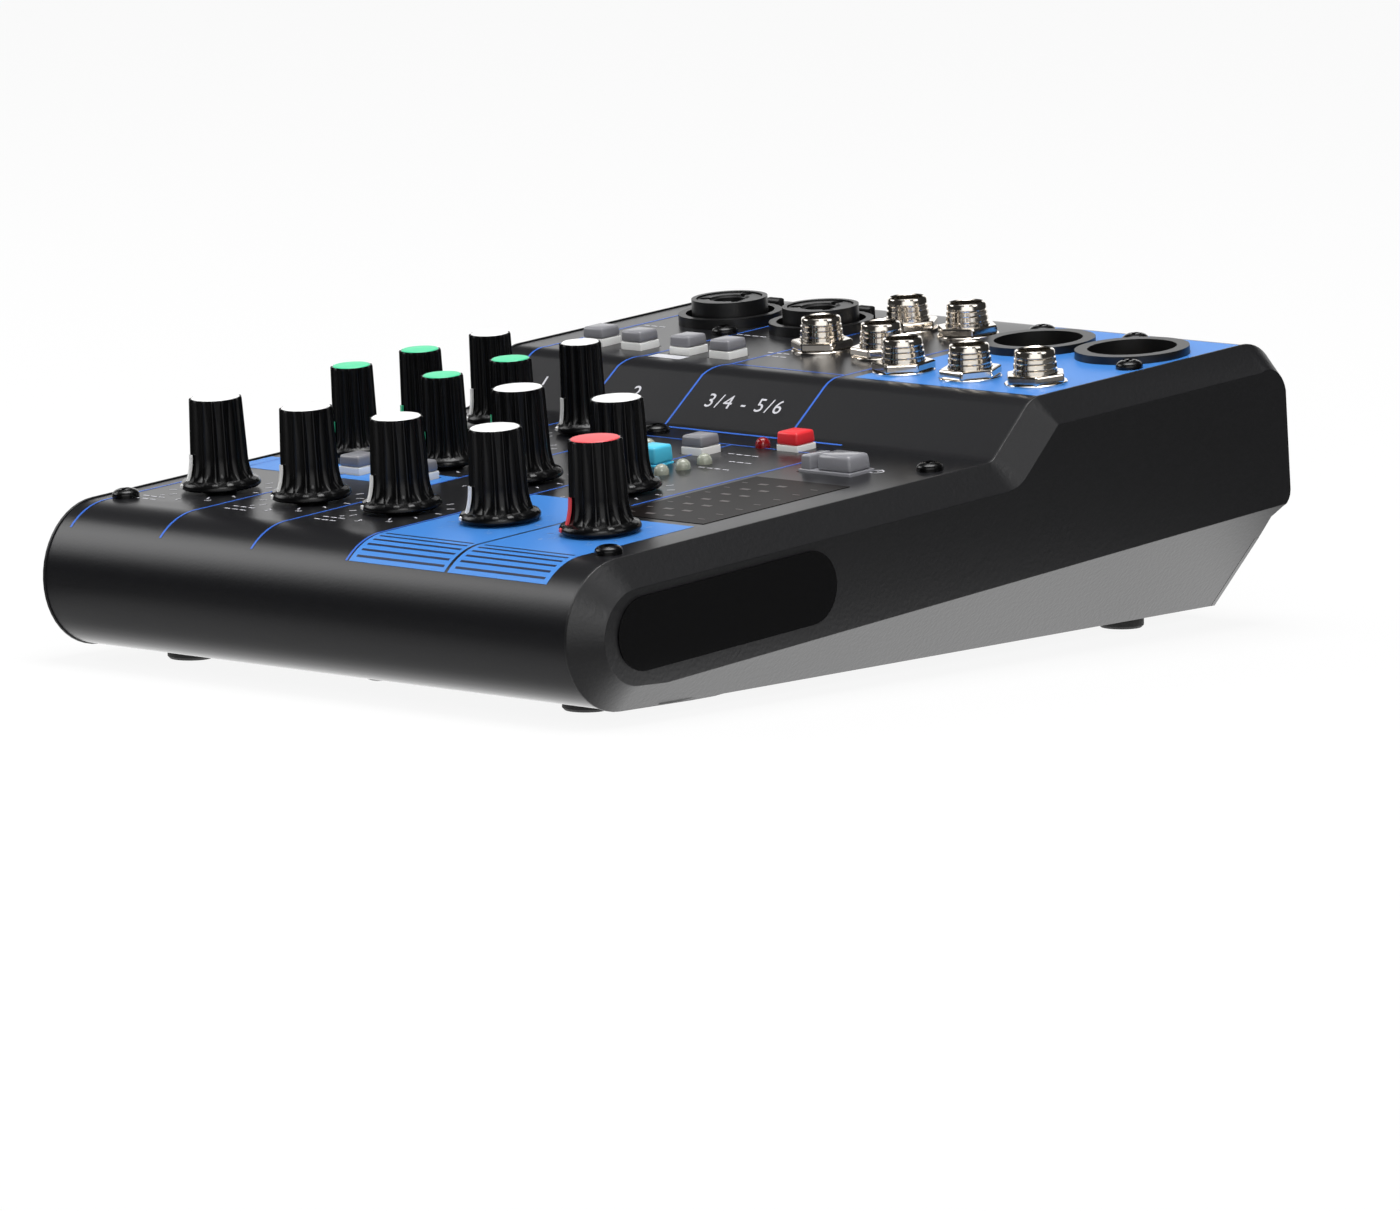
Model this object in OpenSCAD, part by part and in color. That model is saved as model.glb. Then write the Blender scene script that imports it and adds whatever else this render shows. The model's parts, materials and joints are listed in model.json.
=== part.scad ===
// Compact tabletop mixing console: bent metal top cover between two moulded side cheeks,
// a sloped control deck, a raised connector deck, knobs, push buttons and sockets.
// Frame: origin on the table under the middle of the body, +X right, +Y to the rear, +Z up.

/* [Body] */
// Width over both side cheeks
body_w = 149; // [140:1:160]
// Depth from the nose to the rear face
body_d = 202; // [196:1:212]
// Radius of the rounded nose
nose_r = 14.1; // [12:0.1:15]
// Height of the underside above the table
base_z = 2.4; // [2:0.1:3]
// Slope of both decks, rising to the rear, in degrees
deck_tilt = 4.58; // [3:0.02:6]
// Thickness of the metal sheet
sheet_t = 1.2; // [1:0.1:1.6]
// Distance along the lower deck from the nose to the foot of the step
step_v = 105.6; // [103:0.1:109]
// Height of the raised deck over the lower deck, square to it
deck_rise = 10.4; // [9:0.1:12]
// Radius in the foot of the step
foot_r = 4; // [2:0.5:5]
// Radius on the crest of the step
crest_r = 6; // [3:0.5:7]
// Radius of the upper rear corner
rear_r = 9; // [7:0.5:10]

/* [Side cheeks] */
// Width of the bevelled band seen from the front
cheek_w = 5.6; // [4.6:0.1:6.4]
// Depth of the bevel, square to the outline
bevel_in = 5; // [4:0.1:5.6]
// How far the cheek's rim stands proud of the metal
rim_h = 0.25; // [0.1:0.05:0.4]
// Width of the rim's flat land
rim_land = 0.5; // [0.3:0.1:0.8]
// Angle of the undercut facet from the table, in degrees
facet_angle = 52; // [48:1:56]
// Height of the facet's upper edge at the front
facet_z = 7.1; // [6.6:0.1:7.6]
// Rise of the facet's upper edge for each millimetre of depth
facet_rise = 0.0935; // [0.08:0.0005:0.1]
// Wall of the facet's inner lip
lip_t = 2.6; // [2:0.1:3.2]
// Length of the bare badge in each cheek
badge_l = 60; // [50:1:64]
// Height of the bare badge
badge_h = 14; // [12:0.5:15]
// Thickness of the bare badge, a plate on the cheek's flat
badge_t = 0.3; // [0.2:0.05:0.5]

/* [Knobs] */
// Diameter of the large knob's grip at its top
big_top_d = 10.3; // [9.4:0.1:11]
// Diameter of the large knob's flared foot
big_foot_d = 15.6; // [14:0.1:17]
// Diameter of the small knob's grip at its top
small_top_d = 8.3; // [7.6:0.1:9]
// Diameter of the small knob's flared foot
small_foot_d = 11.6; // [10.6:0.1:12.4]
// Height of a knob over the deck
knob_h = 18; // [16:0.2:20]
// Gap under a knob
knob_gap = 0.5; // [0.4:0.1:1]
// Depth of the flutes
flute_d = 0.42; // [0.2:0.02:0.5]
// Number of flutes
flute_n = 16; // [14:1:18]
// Width of the knob's rim round its cap
cap_rim = 0.35; // [0.3:0.05:0.6]
// Thickness of the coloured cap
cap_t = 0.7; // [0.5:0.1:1]
// Diameter of the control shaft
shaft_d = 6; // [5:0.1:6.4]

/* [Buttons] */
// Side of a square button
button_w = 5.5; // [5:0.1:6]
// Height of a button over its deck
button_h = 3.7; // [3.2:0.1:4.2]
// Height of the pale lower part over the deck
button_pale = 1.8; // [1.2:0.1:2]
// Length of the power button
power_l = 13.4; // [12:0.1:14]
// Depth of the power button
power_w = 7.1; // [6.4:0.1:7.6]
// Travel of a button
button_travel = 1.5; // [1:0.1:1.6]

/* [Sockets] */
// Outer diameter of the ring on a combination socket
combo_d = 21; // [20:0.1:21.6]
// Diameter of the inner block of a combination socket
combo_core_d = 15.4; // [15:0.1:15.8]
// Height of the inner block over the deck
combo_core_h = 4.9; // [4:0.1:5.4]
// Outer diameter of the ring on an output socket
outlet_d = 22.6; // [22:0.1:23]
// Diameter of the well of an output socket
outlet_bore = 17.6; // [17:0.1:18]
// Depth of the well below the rim
outlet_depth = 14; // [13:0.5:16]
// Bore of a phone socket
jack_bore = 6.4; // [6.3:0.05:6.6]
// Diameter of a phone socket's threaded barrel
jack_d = 8.8; // [8.6:0.1:9.2]
// Height of a phone socket over its deck
jack_h = 6.8; // [6:0.1:7.4]
// Width across the flats of a socket's nut
nut_af = 11; // [10.6:0.1:11.6]
// Depth of the phone plug's bore below the deck
jack_depth = 20; // [18:0.5:21]

/* [Small parts] */
// Diameter of an indicator lamp
lamp_d = 3; // [2.6:0.1:3.2]
// Width of the meter window
window_w = 24; // [22:0.5:25]
// Length of the meter window
window_l = 41; // [38:0.5:43]
// Diameter of a panel screw's head
screw_d = 5.3; // [5:0.1:5.6]
// Height of a panel screw's head
screw_h = 1.7; // [1.4:0.1:2]
// Diameter of a rubber foot
foot_d = 9; // [8:0.5:11]

/* [Hidden] */
$fn = 48;

// ---- clearances ----
slip = 0.3;
seat = 0.05;

// ---- places along the decks: [across, up the slope] ----
level_v = 18.5;
second_v = 52;
bass_v = 56;
treble_v = 75.2;
gain_v = 95;
col = [-52.5, -27.9, -3.7, 22.3, 48.3];
level_at = [[col[0], level_v], [col[1], level_v], [col[2], level_v], [col[2], second_v]];
effect_at = [col[3], second_v];
phones_at = [col[3], level_v];
main_at = [col[4], level_v];
gain_at = [[col[0], gain_v], [col[1], gain_v]];
treble_at = [[col[0], treble_v], [col[1], treble_v]];
bass_at = [[col[0], bass_v], [col[1], bass_v]];
big_at = concat(level_at, [effect_at, phones_at, main_at]);
small_at = concat(gain_at, treble_at, bass_at);
pad_at = [[-53.6, 128], [-29.9, 128]];
filter_at = [[-43.1, 128], [-19.2, 128]];
fx_at = [[-39.8, 43.6], [-23.2, 43.4]];
program_at = [8.3, 76.1];
mono_at = [8.8, 88.9];
phantom_at = [23.6, 100.1];
power_at = [47, 85.8];
low_buttons = concat(fx_at, [program_at, mono_at, phantom_at]);
high_buttons = concat(pad_at, filter_at);
combo_at = [[-47.4, 159.3], [-23.1, 159.8]];
outlet_at = [[31.8, 163], [55.6, 163.6]];
jack_at = [[-6.3, 141.5], [9.6, 141.5], [-5.6, 166.4], [10, 166.6], [25.6, 130], [42.8, 130.2],
    [59, 131]];
lamp_at = [[17.4, 80.6], [17.4, 74.5], [17.4, 68.4], [-4, 87.6], [16.2, 98.6]];
window_at = [48.6, 54];
deck_screw_at = [[-64, 4], [64, 4], [-14.6, 101.3], [63.2, 94.5], [-63.2, 94.5]];
// flange screws lie on a diagonal of each round socket
flange_dx = 9.5;
flange_dv = 12;
flange_w = 22.4;
jack_body = 10.8;
flange_l = 30.4;
foot_x = 52.5;
foot_y = [-78.2, 74.6];
inlet_x = 10;
inlet_z = 38;

// ---- derived outline ----
front_y = -body_d / 2;
rear_y = body_d / 2;
in_x = body_w / 2 - cheek_w;
nose_y = front_y + nose_r;
nose_z = base_z + nose_r;
p0 = [nose_y - nose_r * sin(deck_tilt), nose_z + nose_r * cos(deck_tilt)];
slope = [cos(deck_tilt), sin(deck_tilt)];
up = [-sin(deck_tilt), cos(deck_tilt)];
function on(v, h) = p0 + slope * v + up * h;
step_a = 45;
// corner points of the outline before rounding, in [y, z]
k_foot = on(step_v, 0);
rise_len = deck_rise / sin(step_a - deck_tilt);
k_crest = k_foot + [cos(step_a), sin(step_a)] * rise_len;
k_rear = [rear_y, k_crest[1] + (rear_y - k_crest[0]) * tan(deck_tilt)];
rear_low = 24;
low_in = 4;

// unit helpers
function unit(a) = a / norm(a);
function turn(a) = [a[1], -a[0]];
// points of a rounded corner at k between the straight runs from a and to b
function fillet(a, k, b, r, n) =
    let (u = unit(a - k))
    let (w = unit(b - k))
    let (half = acos(u * w) / 2)
    let (c = k + unit(u + w) * r / sin(half))
    let (s = k + u * r / tan(half))
    let (e = k + w * r / tan(half))
    let (a0 = atan2(s[1] - c[1], s[0] - c[0]))
    let (a1 = atan2(e[1] - c[1], e[0] - c[0]))
    let (d = a1 - a0)
    let (dd = d > 180 ? d - 360 : (d < -180 ? d + 360 : d))
    [for (i = [0:n]) c + r * [cos(a0 + dd * i / n), sin(a0 + dd * i / n)]];

// outer line of the bent cover, from under the nose to the foot of the rear wall
nose_n = 24;
nose_pts = [for (i = [0:nose_n])
    let (a = 270 - (180 - deck_tilt) * i / nose_n)
    [nose_y + nose_r * cos(a), nose_z + nose_r * sin(a)]];
foot_pts = fillet(p0, k_foot, k_crest, foot_r, 4);
crest_pts = fillet(k_foot, k_crest, k_rear, crest_r, 6);
rear_pts = fillet(k_crest, k_rear, [rear_y, rear_low], rear_r, 12);
rim_low = fillet([rear_y, 60], [rear_y, rear_low], [rear_y - low_in, rear_low - 2], 4, 4);
tail_pts = [[rear_y - low_in, rear_low - 2.8], [rear_y - low_in, base_z]];
body_line = concat(nose_pts, foot_pts, crest_pts, rear_pts, rim_low, tail_pts);
sheet_line = concat([[nose_y + 2, base_z]], body_line);

// normals of a line of points, to its left as it runs from the nose to the rear
function tangent(p, i) = unit(p[min(i + 1, len(p) - 1)] - p[max(i - 1, 0)]);
function mitre(p, i) =
    let (a = unit(p[max(i, 1)] - p[max(i, 1) - 1]))
    let (b = unit(p[min(i + 1, len(p) - 1)] - p[min(i + 1, len(p) - 1) - 1]))
    let (m = unit(a + b))
    [-m[1], m[0]] / max(0.5, m * a);
function shifted(p, d) = [for (i = [0:len(p) - 1]) p[i] + mitre(p, i) * d];

module on_deck(at, h = 0) {
    translate([at[0], p0[0], p0[1]])
        rotate([deck_tilt, 0, 0])
            translate([0, at[1], h])
                children();
}

module on_raised(at, h = 0) {
    on_deck(at, deck_rise + h)
        children();
}

module box(w, l, h) {
    translate([-w / 2, -l / 2, 0])
        cube([w, l, h]);
}

// a section in [y, z] run across the body
module across(w) {
    rotate([90, 0, 90])
        linear_extrude(height = w, center = true)
            children();
}

// ---- cover and base ----
cover_w = 2 * in_x;

module top_cover() {
    color("#26262a")
        difference() {
            across(cover_w)
                polygon(concat(sheet_line, reversed(shifted(sheet_line, -sheet_t))));
            cover_holes();
        }
}

function reversed(p) = [for (i = [len(p) - 1:-1:0]) p[i]];

hole_h = 8;
shaft_hole = shaft_d + 1.2;
button_hole = button_w + 2 * slip;

module cover_holes() {
    for (p = concat(big_at, small_at))
        on_deck(p, -hole_h / 2)
            cylinder(d = shaft_hole, h = hole_h);
    for (p = low_buttons)
        on_deck(p, -hole_h / 2)
            box(button_hole, button_hole, hole_h);
    for (p = high_buttons)
        on_raised(p, -hole_h / 2)
            box(button_hole, button_hole, hole_h);
    on_deck(power_at, -hole_h / 2)
        box(power_l + 2 * slip, power_w + 2 * slip, hole_h);
    for (p = lamp_at)
        on_deck(p, -hole_h / 2)
            cylinder(d = lamp_d + 2 * seat, h = hole_h);
    on_deck(window_at, -hole_h / 2)
        box(window_w + 2 * seat, window_l + 2 * seat, hole_h);
    for (p = jack_at)
        on_raised(p, -hole_h / 2)
            cylinder(d = jack_d + 2 * seat, h = hole_h);
    for (p = combo_at)
        on_raised(p, -hole_h / 2)
            cylinder(d = combo_d + 2 * seat, h = hole_h);
    for (p = combo_at)
        on_raised(p + [0, latch_v], -hole_h / 2)
            box(latch_w + 2 * slip, latch_l + 2 * slip, hole_h);
    for (p = outlet_at)
        on_raised(p, -hole_h / 2)
            cylinder(d = outlet_d + 2 * seat, h = hole_h);
    for (p = socket_screw_at)
        on_raised(p, -hole_h / 2)
            cylinder(d = screw_shank + 2 * seat, h = hole_h);
    for (p = deck_screw_at)
        on_deck(p, -hole_h / 2)
            cylinder(d = screw_shank + 2 * seat, h = hole_h);
    translate([inlet_x, rear_y, inlet_z])
        cube([inlet_w + 2 * seat, 10, inlet_h + 2 * seat], center = true);
}

// half width of the underside at depth y, where the facet meets it
function facet_edge_z(y) = facet_z + facet_rise * (y - front_y - 16.5);
function under_x(y) = body_w / 2 - (facet_edge_z(y) - base_z) / tan(facet_angle);
lip_foot = lip_t / sin(facet_angle);
plate_y0 = nose_y + 2.3;
plate_y1 = rear_y - low_in - sheet_t - 0.1;
function plate_x(y) = min(in_x - 0.4, under_x(y) - lip_foot - 0.2);

module bottom_cover() {
    color("#3a3a3e")
        difference() {
            union() {
                translate([0, 0, base_z])
                    linear_extrude(height = sheet_t)
                        polygon([[-plate_x(plate_y0), plate_y0], [plate_x(plate_y0), plate_y0],
                            [plate_x(plate_y1), plate_y1], [-plate_x(plate_y1), plate_y1]]);
                translate([-plate_x(plate_y1) + 1, plate_y1 - sheet_t, base_z])
                    cube([2 * plate_x(plate_y1) - 2, sheet_t, 8]);
            }
            for (p = base_screw_at)
                translate([p[0], p[1], base_z - 1])
                    cylinder(d = screw_shank + 2 * seat, h = sheet_t + 2);
        }
}

// ---- cheeks ----
// the rim follows the cover's line
rim_line = body_line;
n_front = len(nose_pts) + len(foot_pts) + len(crest_pts);
n_rear = len(rear_pts);
// the bevel narrows as it runs down the rear face
function bevel_at(i) =
    i < n_front ? bevel_in :
    i < n_front + n_rear ? bevel_in - (bevel_in - 2.2) * (i - n_front) / (n_rear - 1) : 0.6;
rim_n = len(rim_line);
rim_out = [for (i = [0:rim_n - 1])
    rim_line[i] + mitre(rim_line, i) * (i < n_front + n_rear ? rim_h : 0)];
flat_line = [for (i = [0:rim_n - 1]) rim_line[i] - mitre(rim_line, i) * bevel_at(i)];

// each end is a fan about a point that sees the whole outline, because the outline is hollow
// at the foot of the step
fan_mid = k_foot + [2, -14];

module cheek_shell() {
    x = [in_x, in_x + rim_land, body_w / 2 - badge_t];
    ring = [rim_out, rim_out, flat_line];
    pts = concat([for (k = [0:2]) for (i = [0:rim_n - 1]) [x[k], ring[k][i][0], ring[k][i][1]]],
        [[x[0], fan_mid[0], fan_mid[1]], [x[2], fan_mid[0], fan_mid[1]]]);
    sides = [for (k = [0:1]) for (i = [0:rim_n - 1])
        let (j = (i + 1) % rim_n)
        each [[k * rim_n + i, k * rim_n + j, (k + 1) * rim_n + j],
            [k * rim_n + i, (k + 1) * rim_n + j, (k + 1) * rim_n + i]]];
    first = [for (i = [0:rim_n - 1]) [(i + 1) % rim_n, i, 3 * rim_n]];
    last = [for (i = [0:rim_n - 1]) [2 * rim_n + i, 2 * rim_n + (i + 1) % rim_n, 3 * rim_n + 1]];
    polyhedron(points = pts, faces = concat(sides, last, first));
}

facet_n = unit([tan(facet_angle), facet_rise, -1]);
facet_b = acos(facet_n[2]);
facet_c = atan2(facet_n[1], facet_n[0]);
facet_p = [body_w / 2, front_y + 16.5, facet_z];

// everything beyond the facet plane, or above a plane set in from it
module beyond_facet() {
    translate(facet_p)
        rotate([0, facet_b, facet_c])
            translate([-300, -300, 0])
                cube([600, 600, 60]);
}

module inside_facet() {
    translate(facet_p)
        rotate([0, facet_b, facet_c])
            translate([-300, -300, -lip_t - 60])
                cube([600, 600, 60]);
}

badge_y = -62.6;
badge_z = 19;
badge_turn = 4.8;
badge_step = 10;

// a bar with round ends, standing on the cheek's flat
module badge_bar(l, h, t) {
    translate([0, badge_y, badge_z])
        rotate([badge_turn, 0, 0])
            rotate([90, 0, 90])
                linear_extrude(height = t)
                    polygon([for (s = [-1, 1]) for (a = [-90:badge_step:90])
                        s * [(l - h) / 2 + h / 2 * cos(a), h / 2 * sin(a)]]);
}

module one_cheek() {
    difference() {
        union() {
            cheek_shell();
            difference() {
                translate([plate_x(plate_y1) - 2, plate_y0 + 8, base_z])
                    cube([in_x + 1 - plate_x(plate_y1) + 2, plate_y1 - plate_y0 - 8, 22]);
                inside_facet();
            }
        }
        beyond_facet();
    }
}

module right_cheek() {
    color("#232326")
        one_cheek();
}

module left_cheek() {
    color("#232326")
        mirror([1, 0, 0])
            one_cheek();
}

module side_badges() {
    color("#0c0c0d")
        for (m = [0, 1])
            mirror([m, 0, 0])
                translate([body_w / 2 - badge_t, 0, 0])
                    badge_bar(badge_l, badge_h, badge_t);
}

module rubber_feet() {
    color("#1a1a1a")
        for (x = [-foot_x, foot_x])
            for (y = foot_y)
                translate([x, y, 0])
                    rotate_extrude()
                        polygon([[0, 0], [foot_d / 2 - 0.5, 0], [foot_d / 2, 0.5],
                            [foot_d / 2, base_z], [0, base_z]]);
}

// ---- screws ----
screw_shank = 3;
socket_screw_at = concat(
    [for (p = combo_at) p + [flange_dx, -flange_dv]],
    [for (p = combo_at) p + [-flange_dx, flange_dv]],
    [for (p = outlet_at) p + [flange_dx, -flange_dv]],
    [for (p = outlet_at) p + [-flange_dx, flange_dv]]);
base_screw_at = [[-52, -60], [52, -60], [-52, 20], [52, 20], [0, 88], [0, -80]];

module screw(shank) {
    difference() {
        union() {
            rotate_extrude()
                polygon(concat([[0, 0], [screw_d / 2, 0], [screw_d / 2, screw_h * 0.35]],
                    [for (a = [15:15:75]) [screw_d / 2 - 0.35 * screw_d * (1 - cos(a)),
                        screw_h * (0.35 + 0.65 * sin(a))]],
                    [[0, screw_h]]));
            translate([0, 0, -shank])
                cylinder(d = screw_shank, h = shank + 0.1);
        }
        for (a = [0, 90])
            rotate([0, 0, a + 20])
                translate([0, 0, screw_h - 0.4])
                    box(screw_d * 0.52, 0.8, 2);
    }
}

module panel_screws() {
    color("#131314") {
        for (p = deck_screw_at)
            on_deck(p)
                screw(5);
        for (p = socket_screw_at)
            on_raised(p)
                screw(4);
    }
}

module base_screws() {
    color("#2b2b2d")
        for (p = base_screw_at)
            translate([p[0], p[1], base_z])
                rotate([180, 0, 0])
                    screw(5);
}

// ---- boards inside ----
board_t = 1.6;
main_board_h = -12;
jack_board_h = deck_rise - sheet_t - jack_depth - 2;

module main_board() {
    color("#1d5a34")
        on_deck([0, 55], main_board_h - board_t)
            box(2 * in_x - 6, 98, board_t);
}

module jack_board() {
    color("#1d5a34")
        on_deck([0, 149.5], jack_board_h - board_t)
            box(2 * in_x - 12, 55, board_t);
}

// ---- controls under the deck ----
pot_h = -main_board_h - sheet_t;

module potentiometers() {
    color("#8d9094")
        for (p = concat(big_at, small_at))
            on_deck(p, main_board_h)
                difference() {
                    union() {
                        box(9.6, 11, pot_h - 3);
                        cylinder(d = shaft_hole + 1.8, h = pot_h);
                    }
                    translate([0, 0, pot_h - shaft_in])
                        cylinder(d = shaft_d + 2 * seat, h = shaft_in + 1);
                }
}

shaft_in = 6;
switch_h = -main_board_h - sheet_t - 3.2;
stem_w = 2.6;

module switch_body(w, l) {
    difference() {
        box(w, l, switch_h);
        translate([0, 0, switch_h - 4.5])
            box(stem_w + 2 * slip, stem_w + 2 * slip, 5);
    }
}

module switch_bodies() {
    color("#d9d9d2") {
        for (p = low_buttons)
            on_deck(p, main_board_h)
                switch_body(7, 7);
        on_deck(power_at, main_board_h)
            switch_body(9, 6.5);
        for (p = high_buttons)
            on_raised(p, main_board_h)
                difference() {
                    union() {
                        box(7, 7, switch_h);
                        translate([0, 0, jack_board_h - deck_rise - main_board_h])
                            box(7, 7, main_board_h + deck_rise - jack_board_h + 0.1);
                    }
                    translate([0, 0, switch_h - 4.5])
                        box(stem_w + 2 * slip, stem_w + 2 * slip, 5);
                }
    }
}

// ---- knobs ----
// radius of the knob at each ring: [share of height, share of the flare, share of flute depth]
knob_rings = [[0, 0.9, 0], [0.035, 1, 0], [0.1, 0.9, 0], [0.15, 0.72, 0.1], [0.24, 0.42, 0.9],
    [0.4, 0.2, 1], [1, 0, 1]];
flute_p = [0, 1, 1];
knob_fn = 3 * flute_n;
pointer_a = 240;

function knob_r(k, top_r, foot_r) = top_r + (foot_r - top_r) * knob_rings[k][1];

// a fluted grip that flares into a smooth foot, with a shallow seat for its cap
module knob_body(top_d, foot_d) {
    h = knob_h - knob_gap;
    m = len(knob_rings);
    seat_r = top_d / 2 - cap_rim - flute_d * 0.5;
    step = 360 / knob_fn;
    rings = [for (k = [0:m - 1]) [for (i = [0:knob_fn - 1])
        let (r = knob_r(k, top_d / 2, foot_d / 2) - flute_d * knob_rings[k][2] * flute_p[i % 3])
        [r * cos(i * step + pointer_a), r * sin(i * step + pointer_a), h * knob_rings[k][0]]]];
    cup = [for (z = [h, h - cap_t]) [for (i = [0:knob_fn - 1])
        [seat_r * cos(i * step + pointer_a), seat_r * sin(i * step + pointer_a), z]]];
    all = concat(rings, cup);
    pts = [for (r = all) for (p = r) p];
    sides = [for (k = [0:len(all) - 2]) for (i = [0:knob_fn - 1])
        let (j = (i + 1) % knob_fn)
        each [[k * knob_fn + i, (k + 1) * knob_fn + j, k * knob_fn + j],
            [k * knob_fn + i, (k + 1) * knob_fn + i, (k + 1) * knob_fn + j]]];
    low = [for (i = [0:knob_fn - 1]) i];
    high = [for (i = [knob_fn - 1:-1:0]) (len(all) - 1) * knob_fn + i];
    polyhedron(points = pts, faces = concat([low], sides, [high]));
}

pointer_w = 1.2;
pointer_h0 = 1.1;
pointer_h1 = 6.6;
pointer_in = 0.75;

// the slot for the pale pointer in the knob's flare
module pointer_slot(top_d) {
    rotate([0, 0, pointer_a])
        translate([top_d / 2 - pointer_in, -pointer_w / 2, pointer_h0])
            cube([12, pointer_w, pointer_h1 - pointer_h0]);
}

// the knob with the control shaft that turns with it
module knob(at, top_d, foot_d) {
    on_deck(at, knob_gap)
        difference() {
            knob_body(top_d, foot_d);
            pointer_slot(top_d);
        }
    on_deck(at, -sheet_t - shaft_in + 1)
        cylinder(d = shaft_d, h = sheet_t + shaft_in - 1 + knob_gap);
}

// radius of the ridges at height z over the knob's underside
function ridge_r(z, top_d, foot_d) =
    lookup(z / (knob_h - knob_gap),
        [for (k = [0:len(knob_rings) - 1]) [knob_rings[k][0], knob_r(k, top_d / 2, foot_d / 2)]]);
pointer_z = concat([pointer_h0],
    [for (k = knob_rings) if (k[0] * (knob_h - knob_gap) > pointer_h0
        && k[0] * (knob_h - knob_gap) < pointer_h1) k[0] * (knob_h - knob_gap)],
    [pointer_h1]);

// the coloured disc in the knob's top and the pointer on its flare
module knob_cap(at, top_d, foot_d) {
    on_deck(at, knob_h - cap_t)
        cylinder(d = (top_d - 2 * cap_rim - flute_d) * cos(180 / knob_fn) - 2 * seat,
            h = cap_t);
    on_deck(at, knob_gap)
        rotate([90, 0, pointer_a])
            linear_extrude(height = pointer_w, center = true)
                polygon(concat([[top_d / 2 - pointer_in, pointer_h0]],
                    [for (z = pointer_z) [ridge_r(z, top_d, foot_d), z]],
                    [[top_d / 2 - pointer_in, pointer_h1]]));
}

module big_knob(at) {
    color("#141414")
        knob(at, big_top_d, big_foot_d);
}

module small_knob(at) {
    color("#141414")
        knob(at, small_top_d, small_foot_d);
}

module big_cap(at, c) {
    color(c)
        knob_cap(at, big_top_d, big_foot_d);
}

module small_cap(at, c) {
    color(c)
        knob_cap(at, small_top_d, small_foot_d);
}

// ---- buttons ----
stem_l = 3.2 + 4;

// rounded rectangle for a section, its middle at the origin
module soft_rect(w, l, r) {
    union() {
        square([w - 2 * r, l], center = true);
        square([w, l - 2 * r], center = true);
        for (x = [-1, 1])
            for (y = [-1, 1])
                translate([x * (w / 2 - r), y * (l / 2 - r)])
                    circle(r = r);
    }
}

// cap with soft corners and a softened upper edge
module button_cap(w, l, h) {
    intersection() {
        linear_extrude(height = h)
            soft_rect(w, l, 0.6);
        translate([0, 0, h / 2 - 2])
            rotate([90, 0, 0])
                linear_extrude(height = l + 2, center = true)
                    soft_rect(w, h + 4, 0.8);
        translate([0, 0, h / 2 - 2])
            rotate([90, 0, 90])
                linear_extrude(height = w + 2, center = true)
                    soft_rect(l, h + 4, 0.8);
    }
}

sunk = sheet_t + 0.8;

module button(w, l, pale, cap_c, pale_c) {
    color(pale_c) {
        translate([0, 0, -sunk])
            linear_extrude(height = pale + sunk)
                soft_rect(w, l, 0.5);
        translate([0, 0, -sunk - stem_l + 2.2])
            box(stem_w, stem_w, stem_l - 2.2 + 0.1);
    }
    color(cap_c)
        translate([0, 0, pale])
            button_cap(w - 0.2, l - 0.2, button_h - pale);
}

module low_button(at, cap_c, pale_c, pale) {
    on_deck(at)
        button(button_w, button_w, pale, cap_c, pale_c);
}

module high_button(at) {
    on_raised(at)
        button(button_w, button_w, button_pale, "#7d7f84", "#efefef");
}

module power_button() {
    on_deck(power_at)
        button(power_l, power_w, 0.5, "#6f7176", "#6f7176");
}

// ---- combination sockets ----
combo_ring_h = 2;
combo_groove = 1.5;
combo_bore_d = combo_d - 2 * combo_groove;
core_depth = 12;
latch_v = 13.4;
latch_w = 4;
latch_l = 1.8;
latch_h = 2.6;

module combo_socket(at) {
    color("#1b1b1c")
        on_raised(at)
            difference() {
                union() {
                    translate([0, 0, -sheet_t - jack_depth - 2])
                        linear_extrude(height = jack_depth + 2)
                            soft_rect(flange_w, flange_l, 2);
                    translate([0, 0, -sheet_t])
                        cylinder(d = combo_d, h = sheet_t + combo_ring_h);
                    translate([0, 0, -core_depth])
                        cylinder(d = combo_core_d, h = core_depth + combo_core_h);
                }
                translate([0, 0, -core_depth])
                    difference() {
                        cylinder(d = combo_bore_d, h = core_depth + 10);
                        translate([0, 0, -1])
                            cylinder(d = combo_core_d, h = core_depth + 12);
                    }
                translate([0, 0, combo_core_h - 1.2])
                    cylinder(d = combo_core_d - 2, h = 3);
                translate([0, 0, -jack_depth])
                    cylinder(d = jack_bore, h = jack_depth + 10);
                for (a = [90, 210, 330])
                    rotate([0, 0, a])
                        translate([5, 0, -core_depth + 2])
                            cylinder(d = 2.4, h = 20);
                for (s = [1, -1])
                    translate([s * flange_dx, -s * flange_dv, -sheet_t - 6])
                        cylinder(d = screw_shank + 2 * seat, h = 7);
                translate([0, latch_v, -sheet_t - 4.6])
                    box(latch_w + 2 * slip, latch_l + 2 * slip, 6);
            }
}

module combo_latch(at) {
    color("#222223")
        on_raised(at + [0, latch_v], -sheet_t - 2.4)
            button_cap(latch_w, latch_l, sheet_t + 2.4 + latch_h);
}

// ---- output sockets ----
outlet_ring_h = 1.6;

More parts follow.
